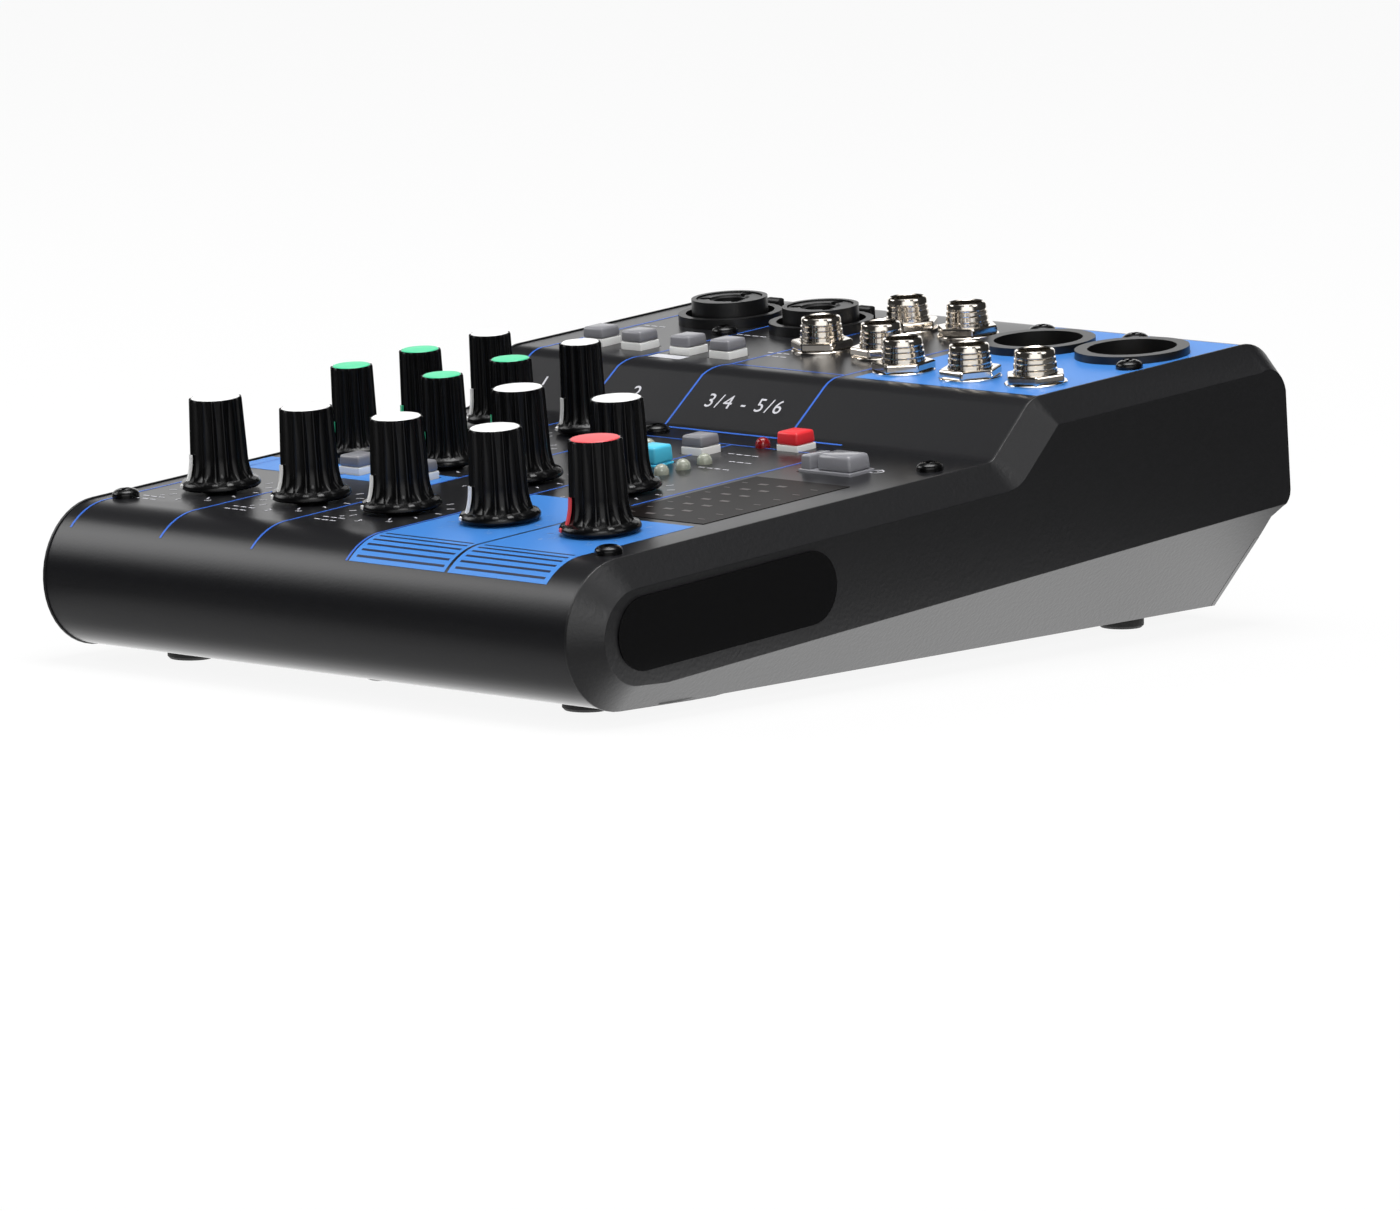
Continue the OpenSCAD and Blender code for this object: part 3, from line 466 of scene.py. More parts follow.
def bent(u, s, h=0.0):
    """A point over the cover: u across, s along the sheet from the deck's front, h above it."""
    if s < 0:
        out = outward(TILT - s / NOSE_R)
        p = nose_mid + out * NOSE_R
    elif s < S_FOOT:
        out = outward(TILT)
        p = deck_start + heading(TILT) * s
    elif s < S_RAMP:
        out = outward(TILT + (s - S_FOOT) / FOOT_R)
        p = foot_mid - out * FOOT_R
    elif s < S_CREST:
        out = outward(TILT + turn)
        p = ramp_start + heading(TILT + turn) * (s - S_RAMP)
    elif s < S_TOP:
        out = outward(TILT + turn - (s - S_CREST) / CREST_R)
        p = crest_mid + out * CREST_R
    else:
        out = outward(TILT)
        p = top_start + heading(TILT) * (s - S_TOP)
    p = p + out * h
    return Vector((u, p.x, p.y)) * MM


def raised(v):
    """The length along the sheet at place v of the raised deck."""
    return S_TOP + v - V_TOP


print("the sheet runs", round(S_TOP, 1), "mm to the top of the step, at v", round(V_TOP, 1))

# %% [markdown]
# ## Printing
# The printing is a few hundredths of a millimetre of ink. It is modelled as thin sheets: a flat
# grid is added in deck sizes, its points are carried over to the bent line, and Solidify gives it
# the ink's thickness. Where knobs, buttons and sockets pass through a field, a Boolean cuts it.
# Every sheet starts a hair over the steel, so that the two never share a surface.

# %% Ink and helpers for thin sheets
for slot, name, colour in (("ink_blue", "screen_ink_blue", "#3a80cf"),
                           ("ink_line", "screen_ink_line_blue", "#2a62c4"),
                           ("ink_white", "screen_ink_white", "#c9c9cf"),
                           ("ink_black", "screen_ink_black", "#0f1d3a"),
                           ("ink_grey", "screen_ink_grey", "#565150")):
    m, tree, shader = new_material(name, colour, Roughness=0.42)
    grain_bump(tree, shader, 0.45, 0.010)
    finish[slot] = m

INK, LIFT = 0.03, 0.012
ROW = 1.0
CUT_DEPTH = 4


def apply_all(o):
    activate(o)
    for modifier in list(o.modifiers):
        bpy.ops.object.modifier_apply(modifier=modifier.name)


def settle(o, name, slot, body="console"):
    """Name a finished piece, give it its finish and let it ride on its body."""
    o.name = name
    o.data.name = name
    o.data.materials.clear()
    o.data.materials.append(finish[slot])
    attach(o, body)
    return o


def ink_sheet(u0, u1, s0, s1, lift=LIFT, lean=0.0, thick=INK):
    """A printed sheet from s0 to s1 along the cover. lean shifts it sideways towards s1."""
    rows = max(1, math.ceil((s1 - s0) / ROW))
    flat_runs = ((0, S_FOOT), (S_RAMP, S_CREST), (S_TOP, math.inf))
    if any(a <= s0 and s1 <= b for a, b in flat_runs):
        rows = 1
    deselect()
    bpy.ops.mesh.primitive_grid_add(x_subdivisions=1, y_subdivisions=rows, size=1)
    sheet = bpy.context.active_object
    for vert in sheet.data.vertices:
        share = vert.co.y + 0.5
        u = (u0 + u1) / 2 + vert.co.x * (u1 - u0) + lean * share
        vert.co = bent(u, s0 + (s1 - s0) * share, lift)
    solid = sheet.modifiers.new("ink", "SOLIDIFY")
    solid.thickness = thick * MM
    solid.offset = 1
    apply_all(sheet)
    return sheet


def joined(parts):
    """Join pieces into the first one of them."""
    deselect()
    for p in parts:
        p.select_set(True)
    bpy.context.view_layer.objects.active = parts[0]
    bpy.ops.object.join()
    whole = bpy.context.active_object
    deselect()
    return whole


def cut_by(sheet, cutters):
    """Cut a sheet by joined cutters and delete them."""
    knife = joined(cutters)
    cut = sheet.modifiers.new("cut", "BOOLEAN")
    cut.operation = "DIFFERENCE"
    cut.solver = "EXACT"
    cut.object = knife
    apply_all(sheet)
    bpy.data.objects.remove(knife)
    return sheet


def deck_matrix(u, v, h=0.0):
    """Carries a piece made upright at the origin to its place on the sloped deck."""
    return Matrix.Translation(deck(u, v, h)) @ Matrix.Rotation(TILT, 4, "X")


def round_cutter(u, v, h, radius):
    deselect()
    bpy.ops.mesh.primitive_cylinder_add(vertices=48, radius=radius * MM, depth=CUT_DEPTH * MM)
    c = bpy.context.active_object
    c.data.transform(deck_matrix(u, v, h))
    return c


def square_cutter(u, v, h, wide, long):
    deselect()
    bpy.ops.mesh.primitive_cube_add(size=1)
    c = bpy.context.active_object
    size = Matrix.Diagonal((wide * MM, long * MM, CUT_DEPTH * MM, 1))
    c.data.transform(deck_matrix(u, v, h) @ size)
    return c


# %% Where the controls are
COLUMNS = (-52.5, -27.9, -3.7, 22.3, 48.3)
LEVEL_V, SECOND_V, BASS_V, TREBLE_V, GAIN_V = 18.5, 52.0, 56.0, 75.2, 95.0
big_knobs = {
    "level_knob_1": (COLUMNS[0], LEVEL_V), "level_knob_2": (COLUMNS[1], LEVEL_V),
    "level_knob_3": (COLUMNS[2], LEVEL_V), "level_knob_4": (COLUMNS[2], SECOND_V),
    "effect_knob": (COLUMNS[3], SECOND_V), "phones_knob": (COLUMNS[3], LEVEL_V),
    "main_knob": (COLUMNS[4], LEVEL_V)}
small_knobs = {
    f"{kind}_knob_{i + 1}": (COLUMNS[i], v)
    for kind, v in (("gain", GAIN_V), ("treble", TREBLE_V), ("bass", BASS_V)) for i in (0, 1)}
RAISED_BUTTONS = {"pad_button_1": (-53.6, 128), "filter_button_1": (-43.1, 128),
                  "pad_button_2": (-29.9, 128), "filter_button_2": (-19.2, 128)}
LOW_BUTTONS = {"effect_button_1": (-39.8, 43.6), "effect_button_2": (-23.2, 43.4),
               "program_button": (8.3, 76.1), "mono_button": (8.8, 88.9),
               "phantom_button": (23.6, 100.1)}
POWER = (47, 85.8)
RED_LAMP = (16.2, 98.6)
outlets = ((31.8, 163.0), (55.6, 163.6))
combos = ((-47.4, 159.3), (-23.1, 159.8))
jacks = ((-6.3, 141.5), (9.6, 141.5), (-5.6, 166.4), (10, 166.6), (25.6, 130), (42.8, 130.2),
         (59, 131))
print("knobs:", len(big_knobs) + len(small_knobs))
print("buttons:", len(RAISED_BUTTONS) + len(LOW_BUTTONS) + 1)

# %% [markdown]
# The blue fields are the largest printed shapes: two at the front under the output knobs, with dark
# stripes where they round the nose, a band across the first two channels, and one on the raised
# deck round the outputs. Thin blue lines part the channels, from the nose over the step to the
# rear.

# %% Blue fields
S_NOSE_END = -NOSE_R * (math.radians(47) - TILT)
V_REAR = 181.0
SHAFT_HOLE, OUTLET_HOLE, NUT_HOLE, BUTTON_HOLE = 3.7, 11.4, 5, 6.2
field_left = ink_sheet(9.4, 34.3, S_NOSE_END, 41.5)
cut_by(field_left, [round_cutter(*big_knobs["phones_knob"], 0, SHAFT_HOLE)])
settle(field_left, "print_field_phones", "ink_blue")
field_right = ink_sheet(35.1, 60.6, S_NOSE_END, 31.0)
cut_by(field_right, [round_cutter(*big_knobs["main_knob"], 0, SHAFT_HOLE)])
settle(field_right, "print_field_main", "ink_blue")
band_cutters = [square_cutter(*LOW_BUTTONS[name], 0, BUTTON_HOLE, BUTTON_HOLE)
                for name in ("effect_button_1", "effect_button_2")]
band = joined([ink_sheet(-68.2, -41.6, 37.3, 48.0), ink_sheet(-40.8, -17.0, 37.3, 48.0)])
settle(cut_by(band, band_cutters), "print_band", "ink_blue")
top_field = ink_sheet(20.8, 68.3, raised(120.7), raised(V_REAR))
holes = [round_cutter(u, v, RISE, OUTLET_HOLE) for u, v in outlets]
holes += [round_cutter(u, v, RISE, NUT_HOLE) for u, v in jacks[4:]]
settle(cut_by(top_field, holes), "print_field_outputs", "ink_blue")
print("blue fields: 4")

# %% Stripes on the nose
STRIPE_START, STRIPE_PITCH, STRIPE_WIDE, STRIPE_LIFT = 1.1, 1.75, 0.55, 0.045
stripes = []
for i in range(6):
    s = S_NOSE_END + STRIPE_START + i * STRIPE_PITCH
    for u0, u1 in ((10.6, 33.4), (36.3, 59.4)):
        stripes.append(ink_sheet(u0, u1, s, s + STRIPE_WIDE, lift=STRIPE_LIFT))
settle(joined(stripes), "print_stripes", "ink_black")
print("stripes:", len(stripes))

# %% Lines between the channels
LINE_WIDE, RAIL_WIDE = 0.5, 0.4
PAST_CREST = 1.5
V_RAIL = 97.6
lines = []


def line(u, s0, s1, lean=0.0):
    """A line from s0 to s1 along the cover, whose far end is shifted sideways by lean."""
    lines.append(ink_sheet(u - LINE_WIDE / 2, u + LINE_WIDE / 2, s0, s1, lean=lean))


for u, at_foot, at_crest, u_top in ((-65.7, -63.6, -62.8, -62), (-41.2, -40.4, -38.2, -35.5),
                                    (-16.6, -17.1, -15.3, -12.6)):
    line(u, S_NOSE_END, 0)
    line(u, 0, S_FOOT, lean=at_foot - u)
    line(at_foot, S_FOOT, S_CREST, lean=at_crest - at_foot)
    line(at_crest, S_CREST, S_TOP + PAST_CREST, lean=u_top - at_crest)
    line(u_top, S_TOP + PAST_CREST, raised(V_REAR))
line(8.7, S_NOSE_END, 0)
line(8.7, 0, V_RAIL)
line(15.7, S_FOOT, S_CREST, lean=1.4)
line(17.1, S_CREST, S_TOP, lean=0.4)
line(17.5, S_TOP, raised(V_REAR))
line(34.7, 41.5, V_RAIL)
for s, u0, u1 in ((V_RAIL, -16.6, 34.7), (105.5, -16.6, 30.5)):
    lines.append(ink_sheet(u0, u1, s, s + RAIL_WIDE))
lines.append(ink_sheet(-12.6, 17.5, raised(121.6), raised(122.0)))
settle(joined(lines), "print_lines", "ink_line")
print("lines:", len(lines))

# %% [markdown]
# Each knob has a ring of white ticks from its minimum at seven o'clock to its maximum at five. One
# tick is a thin bar; it is copied round each knob.

# %% Ticks round the knobs
TICK_LONG, TICK_WIDE, TICKS = 1.5, 0.35, 11
KNOB_MIN, KNOB_TURN = 240, 300


def ink_copies(master, places):
    """Copies of one piece at several places, joined. The piece itself is deleted."""
    parts = []
    for place in places:
        part = master.copy()
        part.data = master.data.copy()
        part.data.transform(place)
        scene.collection.objects.link(part)
        parts.append(part)
    bpy.data.objects.remove(master)
    return joined(parts)


deselect()
bpy.ops.mesh.primitive_cube_add(size=1)
tick = bpy.context.active_object
tick.data.transform(Matrix.Diagonal((TICK_LONG * MM, TICK_WIDE * MM, INK * MM, 1)))
places = []
for group, radius in ((big_knobs, 9.6), (small_knobs, 7.5)):
    for u, v in group.values():
        for i in range(TICKS):
            turned = Matrix.Rotation(math.radians(KNOB_MIN - KNOB_TURN / (TICKS - 1) * i), 4, "Z")
            away = Matrix.Translation((radius * MM, 0, 0))
            places.append(deck_matrix(u, v, LIFT + INK / 2) @ turned @ away)
settle(ink_copies(tick, places), "print_ticks", "ink_white")
print("ticks:", len(places))

# %% [markdown]
# ## Fluted knobs
# A moulded knob: thin ridges with hollow valleys that fade into a smooth flared foot. A profile is
# spun round the axis, and the valleys are then pressed in by moving the points between two ridges
# inwards. One large and one small knob are modelled and copied to their places.

# %% Knob profile
KNOB_H, KNOB_GAP, FLUTES = 18.0, 0.5, 16
POINTER = math.radians(KNOB_MIN)
SEAT_INSET, SEAT_DEPTH, FLARE_INSET = 0.45, 0.65, 0.5
POINTER_LOW, POINTER_HIGH, POINTER_WIDE, POINTER_THICK = 0.5, 6.8, 1.15, 0.4


def spun(profile, steps=48, name="spun"):
    """Spin an (r, z) profile in millimetres round Z into a closed skin."""
    mesh = bpy.data.meshes.new(name)
    mesh.from_pydata([(r * MM, 0, z * MM) for r, z in profile],
                     [(i, i + 1) for i in range(len(profile) - 1)], [])
    o = bpy.data.objects.new(name, mesh)
    scene.collection.objects.link(o)
    activate(o)
    bpy.ops.object.mode_set(mode="EDIT")
    bpy.ops.mesh.select_all(action="SELECT")
    bpy.ops.mesh.spin(steps=steps, angle=math.tau, center=(0, 0, 0), axis=(0, 0, 1))
    bpy.ops.mesh.select_all(action="SELECT")
    bpy.ops.mesh.remove_doubles(threshold=0.00001)
    bpy.ops.mesh.normals_make_consistent(inside=False)
    bpy.ops.object.mode_set(mode="OBJECT")
    return o


def flare(z, top_r, foot_r):
    """The ridge's radius at height z: a straight taper above, an easy curve out to the foot."""
    share = z / (KNOB_H - KNOB_GAP)
    taper = 0.2 * (1 - share) / 0.6 if share > 0.4 else 0.2 + 0.8 * ((0.4 - share) / 0.4) ** 2.2
    return top_r + (foot_r - top_r) * min(taper, 1.0)


def fluted_knob(top_r, foot_r, depth):
    """A knob with its axis along Z, its foot on the origin and its valleys pressed in by depth."""
    height = KNOB_H - KNOB_GAP
    seat_r = top_r - SEAT_INSET
    shoulder = 1.9
    profile = [(0, 0), (foot_r - 1.2, 0), (foot_r - 0.35, 0.08), (foot_r, 0.4), (foot_r, 0.75),
               (foot_r - 0.12, 1.1), (foot_r - 0.42, 1.5)]
    z = shoulder
    while z < height - 0.35:
        profile.append((flare(z, top_r, foot_r - FLARE_INSET), z))
        z += 0.5 if z < 7 else 1.6
    profile += [(top_r + 0.02, height - 0.3), (top_r - 0.05, height - 0.08), (top_r - 0.14, height),
                (seat_r, height), (seat_r, height - SEAT_DEPTH), (0, height - SEAT_DEPTH)]
    knob = spun(profile, steps=FLUTES * 10, name="knob")
    pitch = math.tau / FLUTES
    for vert in knob.data.vertices:
        r = math.hypot(vert.co.x, vert.co.y) / MM
        z = vert.co.z / MM
        if r < seat_r + 0.05 or z < 1.6:
            continue
        fade = min(1.0, max(0.0, (z - 1.7) / 1.1)) ** 0.6
        across = ((math.atan2(vert.co.y, vert.co.x) - POINTER) / pitch + 0.5) % 1.0 * 2 - 1
        inner = 1 - abs(across)
        hollow = math.sqrt(max(0.0, 1 - (inner / 0.84) ** 2))
        press = depth * hollow * fade
        scale = max(r - press, seat_r + 0.08) / r
        vert.co.x *= scale
        vert.co.y *= scale
    activate(knob)
    bpy.ops.object.shade_smooth_by_angle(angle=math.radians(32))
    return knob


# %% Knob cap and pointer
def knob_cap(top_r, foot_r):
    """A coloured disc with an eased edge, and the pale pointer on the flare."""
    seat_r = top_r - SEAT_INSET
    height = KNOB_H - KNOB_GAP
    disc = spun([(0, height - 0.6), (seat_r - 0.03, height - 0.6), (seat_r - 0.03, height + 0.02),
                 (seat_r - 0.2, height + 0.16), (seat_r * 0.5, height + 0.24), (0, height + 0.26)],
                steps=64, name="cap")
    deselect()
    bpy.ops.mesh.primitive_grid_add(x_subdivisions=14, y_subdivisions=2, size=1)
    strip = bpy.context.active_object
    turned = Matrix.Rotation(POINTER, 3, "Z")
    for vert in strip.data.vertices:
        share = vert.co.x + 0.5
        z = POINTER_LOW + (POINTER_HIGH - POINTER_LOW) * share
        on_flare = flare(z, top_r, foot_r - FLARE_INSET) + 0.04
        r = foot_r - 0.02 if z < 1.1 else min(foot_r - 0.3, on_flare)
        side = vert.co.y * POINTER_WIDE
        vert.co = turned @ (Vector((math.sqrt(r * r - side * side), side, z)) * MM)
    solid = strip.modifiers.new("pointer", "SOLIDIFY")
    solid.thickness = POINTER_THICK * MM
    solid.offset = 0
    apply_all(strip)
    whole = joined([disc, strip])
    activate(whole)
    bpy.ops.object.shade_smooth_by_angle(angle=math.radians(35))
    return whole


# %% Place the knobs
def placed(master, name, matrix, slot, body, *stands_for):
    """A copy of a finished piece at its place, which stands for a node of the frame."""
    o = master.copy()
    o.data = master.data.copy()
    o.data.transform(matrix)
    scene.collection.objects.link(o)
    settle(o, name, slot, body)
    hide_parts(*stands_for)
    return o


triangles = 0
for group, top_r, foot_r, depth in ((big_knobs, 5.15, 7.8, 0.55), (small_knobs, 4.15, 5.8, 0.45)):
    knob = fluted_knob(top_r, foot_r, depth)
    cap = knob_cap(top_r, foot_r)
    shaft = spun([(0, -6.2), (3, -6.2), (3, 0.5), (0, 0.5)], steps=40, name="shaft")
    shaft.data.transform(Matrix.Translation((0, 0, -KNOB_GAP * MM)))
    knob = joined([knob, shaft])
    triangles += len(group) * sum(len(p.vertices) - 2 for p in knob.data.polygons)
    for name, (u, v) in group.items():
        where = deck_matrix(u, v, KNOB_GAP)
        cap_name = name.replace("knob", "cap")
        colour = "cap_red" if name == "main_knob" else \
            "cap_green" if name[:4] in ("treb", "bass") else "cap_white"
        placed(knob, name + "_moulded", where, "knob_black", name + "_body", name)
        placed(cap, cap_name + "_moulded", where, colour, name + "_body", cap_name)
    bpy.data.objects.remove(knob)
    bpy.data.objects.remove(cap)
print("knob triangles:", triangles)

# %% [markdown]
# ## Push buttons
# A square button is a coloured cap on a pale foot, both moulded with soft corners. A cube is
# tapered and bevelled for each. The red one's foot is lower, and the blue one's has the cap's
# colour. The power button is a wide polished cap with a low end, standing in a thin frame.

# %% Moulded blocks
def height_over_deck(point):
    """Height square to the lower deck's plane, in millimetres."""
    return (point - deck(0, 0)).dot(deck(0, 0, 1) - deck(0, 0)) / MM / MM


def face_height(o, face):
    """Height of the middle of a face over the lower deck's plane, in millimetres."""
    corners = [o.data.vertices[i].co for i in face.vertices]
    return height_over_deck(sum(corners, Vector()) / len(corners))


def block(wide, long, z0, z1, ease, taper=1.0, u=0.0):
    """A block from z0 to z1 in millimetres, its upper end tapered and all its edges eased."""
    deselect()
    bpy.ops.mesh.primitive_cube_add(size=1)
    o = bpy.context.active_object
    for vert in o.data.vertices:
        share = taper if vert.co.z > 0 else 1.0
        vert.co = Vector((vert.co.x * wide * share + u, vert.co.y * long * share,
                          z0 + (vert.co.z + 0.5) * (z1 - z0))) * MM
    soft = o.modifiers.new("ease", "BEVEL")
    soft.width = ease * MM
    soft.segments = 3
    apply_all(o)
    bpy.ops.object.shade_smooth_by_angle(angle=math.radians(40))
    return o


# %% Square buttons
BUTTON_H, BUTTON_SIDE, BUTTON_SINK = 3.7, 5.5, -2.0
STEM_SIDE, STEM_LOW, STEM_HIGH = 3.0, -7.0, -1.9
FOOT_H, ODD_FOOT_H = 1.45, {"phantom_button": 1.1, "program_button": 0.3}
for name, (u, v) in {**RAISED_BUTTONS, **LOW_BUTTONS}.items():
    foot_h = ODD_FOOT_H.get(name, FOOT_H)
    slot = slot_of[name]
    foot = block(BUTTON_SIDE, BUTTON_SIDE, BUTTON_SINK, foot_h, 0.2)
    stem = block(STEM_SIDE, STEM_SIDE, STEM_LOW, STEM_HIGH, 0.2)
    cap = block(BUTTON_SIDE, BUTTON_SIDE, foot_h + 0.02, BUTTON_H, 0.55, taper=0.95)
    whole = joined([foot, stem, cap])
    deck_h = RISE if name in RAISED_BUTTONS else 0
    whole.data.transform(deck_matrix(u, v, deck_h))
    settle(whole, name + "_moulded", slot, name + "_body")
    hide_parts(name)
    whole.data.materials.append(finish["switch_white" if name != "program_button" else slot])
    for face in whole.data.polygons:
        face.material_index = 0 if face_height(whole, face) > deck_h + foot_h + 0.01 else 1
print("square buttons:", len(RAISED_BUTTONS) + len(LOW_BUTTONS))

# %% Power button
power = joined([block(13.4, 7.1, BUTTON_SINK, 0.55, 0.18),
                block(STEM_SIDE, STEM_SIDE, STEM_LOW, STEM_HIGH, 0.2),
                block(8.8, 6.4, 0.5, BUTTON_H, 0.75, taper=0.92, u=2.0),
                block(2.5, 6.4, 0.5, 3.2, 0.3, taper=0.94, u=-5.1)])
power.data.transform(deck_matrix(*POWER))
settle(power, "power_button_moulded", "gloss_grey", "power_button_body")
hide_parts("power_button")
print("power button faces:", len(power.data.polygons))

# %% [markdown]
# ## Phone sockets
# A turned and nickel-plated barrel, a little tapered, with three grooves, held by a thin hex nut on
# a washer. The profile is spun as a closed ring, so that the bore stays open. The nut is a
# six-sided cylinder with eased edges and a hole cut by a Boolean.

# %% Barrel, washer and nut
BARREL = [(3.2, -2.2), (4.4, -2.2), (4.4, 1.6), (4.3, 2.9), (4.05, 3.0), (4.05, 3.2), (4.26, 3.3),
          (4.2, 4.1), (3.92, 4.2), (3.92, 4.4), (4.12, 4.5), (4.08, 5.1), (3.78, 5.2), (3.78, 5.4),
          (4.0, 5.5), (3.93, 6.4), (3.8, 6.65), (3.5, 6.8), (3.2, 6.6), (3.2, -2.2)]
WASHER = [(4.45, 0), (6.2, 0), (6.2, 0.35), (6.05, 0.5), (4.45, 0.5), (4.45, 0)]
BORE_R, NUT_BORE_R = 3.2, 4.45
BODY_SIDE, BODY_LOW, BODY_HIGH = 10.8, -23.2, -1.25
NUT_FLATS, NUT_THICK, NUT_MIDDLE, NUT_EASE = 11.0, 1.7, 1.35, 0.35
TURNED_ANGLE = math.radians(25)


def bored(o, radius):
    """Cut a round hole along Z through a piece."""
    deselect()
    bpy.ops.mesh.primitive_cylinder_add(vertices=40, radius=radius * MM, depth=0.1)
    return cut_by(o, [bpy.context.active_object])


socket_body = bored(block(BODY_SIDE, BODY_SIDE, BODY_LOW, BODY_HIGH, 0.3), BORE_R)
barrel = spun(BARREL, steps=48, name="barrel")
washer = spun(WASHER, steps=48, name="washer")
for turned_piece in (barrel, washer):
    activate(turned_piece)
    bpy.ops.object.shade_smooth_by_angle(angle=TURNED_ANGLE)
deselect()
nut_corner = NUT_FLATS / 2 / math.cos(math.radians(30))
bpy.ops.mesh.primitive_cylinder_add(vertices=6, radius=nut_corner * MM, depth=NUT_THICK * MM,
                                    location=(0, 0, NUT_MIDDLE * MM))
nut = bpy.context.active_object
bpy.ops.object.transform_apply(location=True)
soft = nut.modifiers.new("ease", "BEVEL")
soft.width = NUT_EASE * MM
soft.segments = 2
apply_all(nut)
nut = bored(nut, NUT_BORE_R)
print("nut faces:", len(nut.data.polygons))

# %% Place the phone sockets
NUT_TURN = 17
BODY_TOP = 2.25
barrels, nuts = [], []
for i, (u, v) in enumerate(jacks):
    for parts, masters in ((barrels, (barrel, socket_body)), (nuts, (washer, nut))):
        for master in masters:
            part = master.copy()
            part.data = master.data.copy()
            turn_by = math.radians(NUT_TURN * i) if master is nut else 0.0
            spin = Matrix.Rotation(turn_by, 4, "Z")
            part.data.transform(deck_matrix(u, v, RISE) @ spin)
            scene.collection.objects.link(part)
            parts.append(part)
for master in (barrel, socket_body, washer, nut):
    bpy.data.objects.remove(master)
barrels = settle(joined(barrels), "phone_jacks_turned", "jack_nickel")
barrels.data.materials.append(finish["socket_black"])
for face in barrels.data.polygons:
    face.material_index = 1 if face_height(barrels, face) < RISE - BODY_TOP else 0
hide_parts("phone_jacks")
nuts = settle(joined(nuts), "jack_nuts_turned", "jack_nickel")
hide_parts("jack_nuts")
print("phone sockets:", len(jacks))

# %% [markdown]
# The face of a combination socket sits in its core: a disc with the hole for a phone plug and three
# holes for the pins of a round plug.

# %% Faces of the combination sockets
COMBO_FACE = [(3.25, 3.6), (6.6, 3.6), (6.6, 4.5), (6.4, 4.65), (4.1, 4.65), (3.9, 4.3),
              (3.25, 4.2), (3.25, 3.6)]
PIN_CIRCLE, PIN_HOLE_R, PIN_HOLE_DEPTH, PIN_HOLE_Z = 5.0, 1.2, 3, 4.2
faces = []
for u, v in combos:
    face = spun(COMBO_FACE, steps=48, name="face")
    cutters = []
    for angle in (math.radians(90), math.radians(210), math.radians(330)):
        deselect()
        bpy.ops.mesh.primitive_cylinder_add(vertices=20, radius=PIN_HOLE_R * MM,
                                            depth=PIN_HOLE_DEPTH * MM)
        pin_hole = bpy.context.active_object
        pin_hole.data.transform(Matrix.Translation((PIN_CIRCLE * math.cos(angle) * MM,
                                                    PIN_CIRCLE * math.sin(angle) * MM,
                                                    PIN_HOLE_Z * MM)))
        cutters.append(pin_hole)
    face = cut_by(face, cutters)
    face.data.transform(deck_matrix(u, v, RISE))
    faces.append(face)
settle(joined(faces), "combo_faces", "socket_black")
print("combination faces:", len(combos))

# %% [markdown]
# The five lamps are one node. The faces near the red one's place take the red lens.

# %% The red lamp
LAMP_REACH = 3
lamps = nodes["lamp_lenses"]
lamps.data.materials.append(finish["lens_red"])
red_place = deck(*RED_LAMP)
for face in lamps.data.polygons:
    corner = lamps.data.vertices[face.vertices[0]].co
    near = (corner.xy - red_place.xy).length < LAMP_REACH * MM
    face.material_index = 1 if near else 0
print("red lamp faces:", sum(face.material_index for face in lamps.data.polygons))

# %% [markdown]
# ## Small signs
# A ring with a bar marks the power button, and a white field stands beside the raised buttons.

# %% Power sign and white field
sign = spun([(1.2, 0), (1.5, 0), (1.5, INK), (1.2, INK), (1.2, 0)], steps=32, name="sign")
sign.data.transform(deck_matrix(54.7, 88.8, LIFT))
bar = ink_sheet(54.55, 54.85, 88.9, 90.6)
settle(joined([sign, bar]), "print_power", "ink_white")
settle(ink_sheet(-34.5, -26.0, raised(121.0), raised(124.0)), "print_label", "ink_white")
print("signs: 2")

# %% [markdown]
# Where the real cover has small print beside its controls, this one has rows of plain dashes.

# %% Rows of dashes
DASH, DASH_PITCH, DASH_WIDE = 1.5, 2.1, 0.42
dash_rows = [(u - 9.5, v, 3) for u in COLUMNS[:3] for v in (4.2, 6.6)]
dash_rows += [(14.6, 90.2, 4), (19.0, 77.0, 4), (20.5, 84.0, 3)]
dash_rows += [(-35.0, raised(147.5), 4), (-14.8, raised(134.6), 3), (-13.0, raised(131.6), 3),
              (-60.5, raised(147.5), 3)]
dashes = []
for u, s, count in dash_rows:
    for i in range(count):
        at = u + i * DASH_PITCH
        dashes.append(ink_sheet(at, at + DASH, s, s + DASH_WIDE))
settle(joined(dashes), "print_dashes", "ink_white")
print("dashes:", len(dashes))

# %% [markdown]
# ## Numbers
# The step carries the channel numbers, and each level knob its number. Every knob has a 0 at its
# minimum, and the large ones a 10 at their maximum. All are text in Blender's own font, made into a
# mesh and carried over to the bent cover.

# %% Printed numbers
STEP_SIZE, LEVEL_SIZE, LOW_LEVEL_SIZE, SCALE_SIZE = 4.8, 2.4, 2.2, 1.5
BIG_REACH, SMALL_REACH, ASIDE = 10.6 + 0.9, 8.4 + 0.9, 1.08
TEXT_MERGE = 0.002


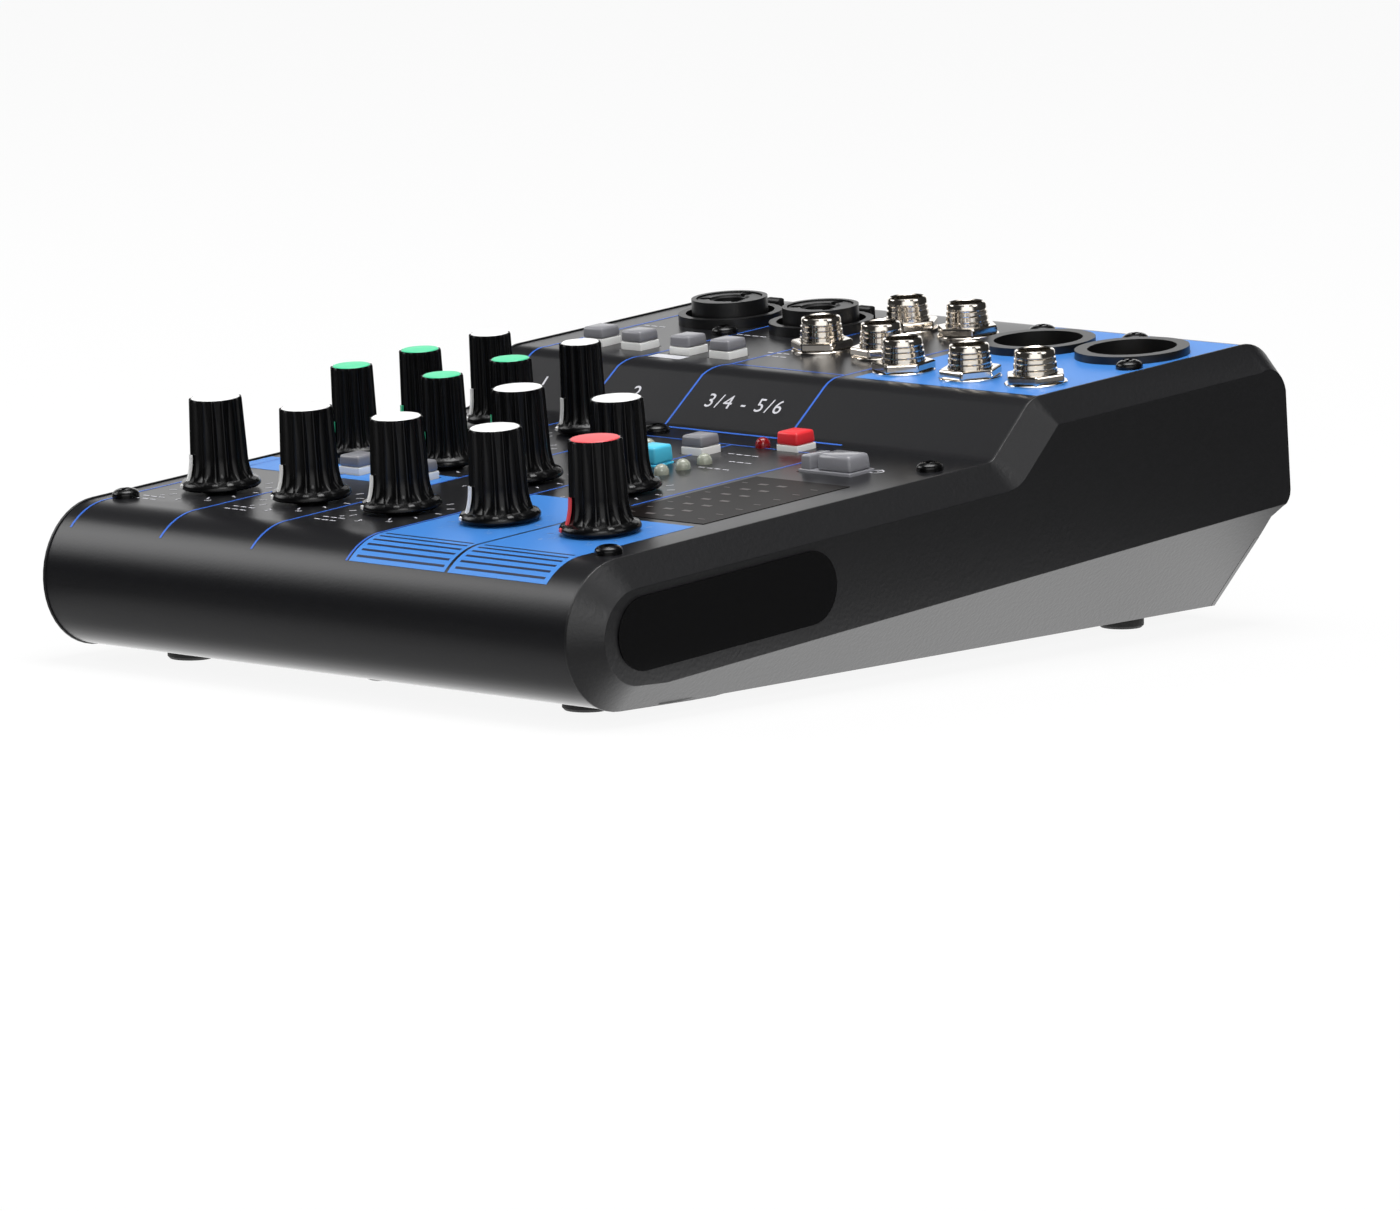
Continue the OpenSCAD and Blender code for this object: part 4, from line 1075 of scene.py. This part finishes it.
def number(text, u, s, size, spread=1.0):
    deselect()
    bpy.ops.object.text_add()
    o = bpy.context.active_object
    o.data.body = text
    o.data.size = size
    o.data.space_character = spread
    o.data.align_x = "CENTER"
    o.data.align_y = "CENTER"
    o.data.resolution_u = 3
    o.data.extrude = 0
    bpy.ops.object.convert(target="MESH")
    o = bpy.context.active_object
    activate(o)
    bpy.ops.object.mode_set(mode="EDIT")
    bpy.ops.mesh.select_all(action="SELECT")
    bpy.ops.mesh.remove_doubles(threshold=TEXT_MERGE)
    bpy.ops.object.mode_set(mode="OBJECT")
    for vert in o.data.vertices:
        vert.co = bent(u + vert.co.x, s + vert.co.y, LIFT)
    solid = o.modifiers.new("ink", "SOLIDIFY")
    solid.thickness = INK * MM
    solid.offset = 1
    apply_all(o)
    return o


S_STEP = (S_RAMP + S_CREST) / 2
numbers = [number("1", -54.5, S_STEP, STEP_SIZE), number("2", -29.3, S_STEP, STEP_SIZE),
           number("3/4 - 5/6", -0.2, S_STEP, STEP_SIZE, spread=1.2)]
for i, u in enumerate(COLUMNS[:3]):
    numbers.append(number(str(i + 1), u, 6.6, LEVEL_SIZE))
numbers.append(number("4", COLUMNS[2], SECOND_V - 11.6, LOW_LEVEL_SIZE))
for name, (u, v) in {**big_knobs, **small_knobs}.items():
    reach = BIG_REACH if name in big_knobs else SMALL_REACH
    for text, angle in (("0", KNOB_MIN), ("10", KNOB_MIN - KNOB_TURN)):
        at = heading(math.radians(angle)) * reach
        if name in big_knobs or text == "0":
            numbers.append(number(text, u + at.x * ASIDE, v + at.y, SCALE_SIZE))
settle(joined(numbers), "print_numbers", "ink_white")
print("numbers:", len(numbers))

# %% [markdown]
# ## Meter window
# The smoked window shows two columns of seven unlit lamps, with a scale of ticks beside them. Each
# is a thin grey mark lying on the window.

# %% Meter marks
WINDOW_ROWS = (37, 42, 47.5, 52.5, 58, 63.4, 68.5)
MARK_LIFT, MARK_THICK = 0.115, 0.02
marks = []
for v in WINDOW_ROWS:
    # Two lamps, each 2.2 by 1.1 mm, and a tick on either side
    for u0, u1, half in ((43.8 - 1.1, 43.8 + 1.1, 0.55), (48.6 - 1.1, 48.6 + 1.1, 0.55),
                         (38.4, 39.8, 0.2), (56.0, 57.8, 0.2)):
        marks.append(ink_sheet(u0, u1, v - half, v + half, lift=MARK_LIFT, thick=MARK_THICK))
settle(joined(marks), "print_meter", "ink_grey")
print("meter marks:", len(marks))
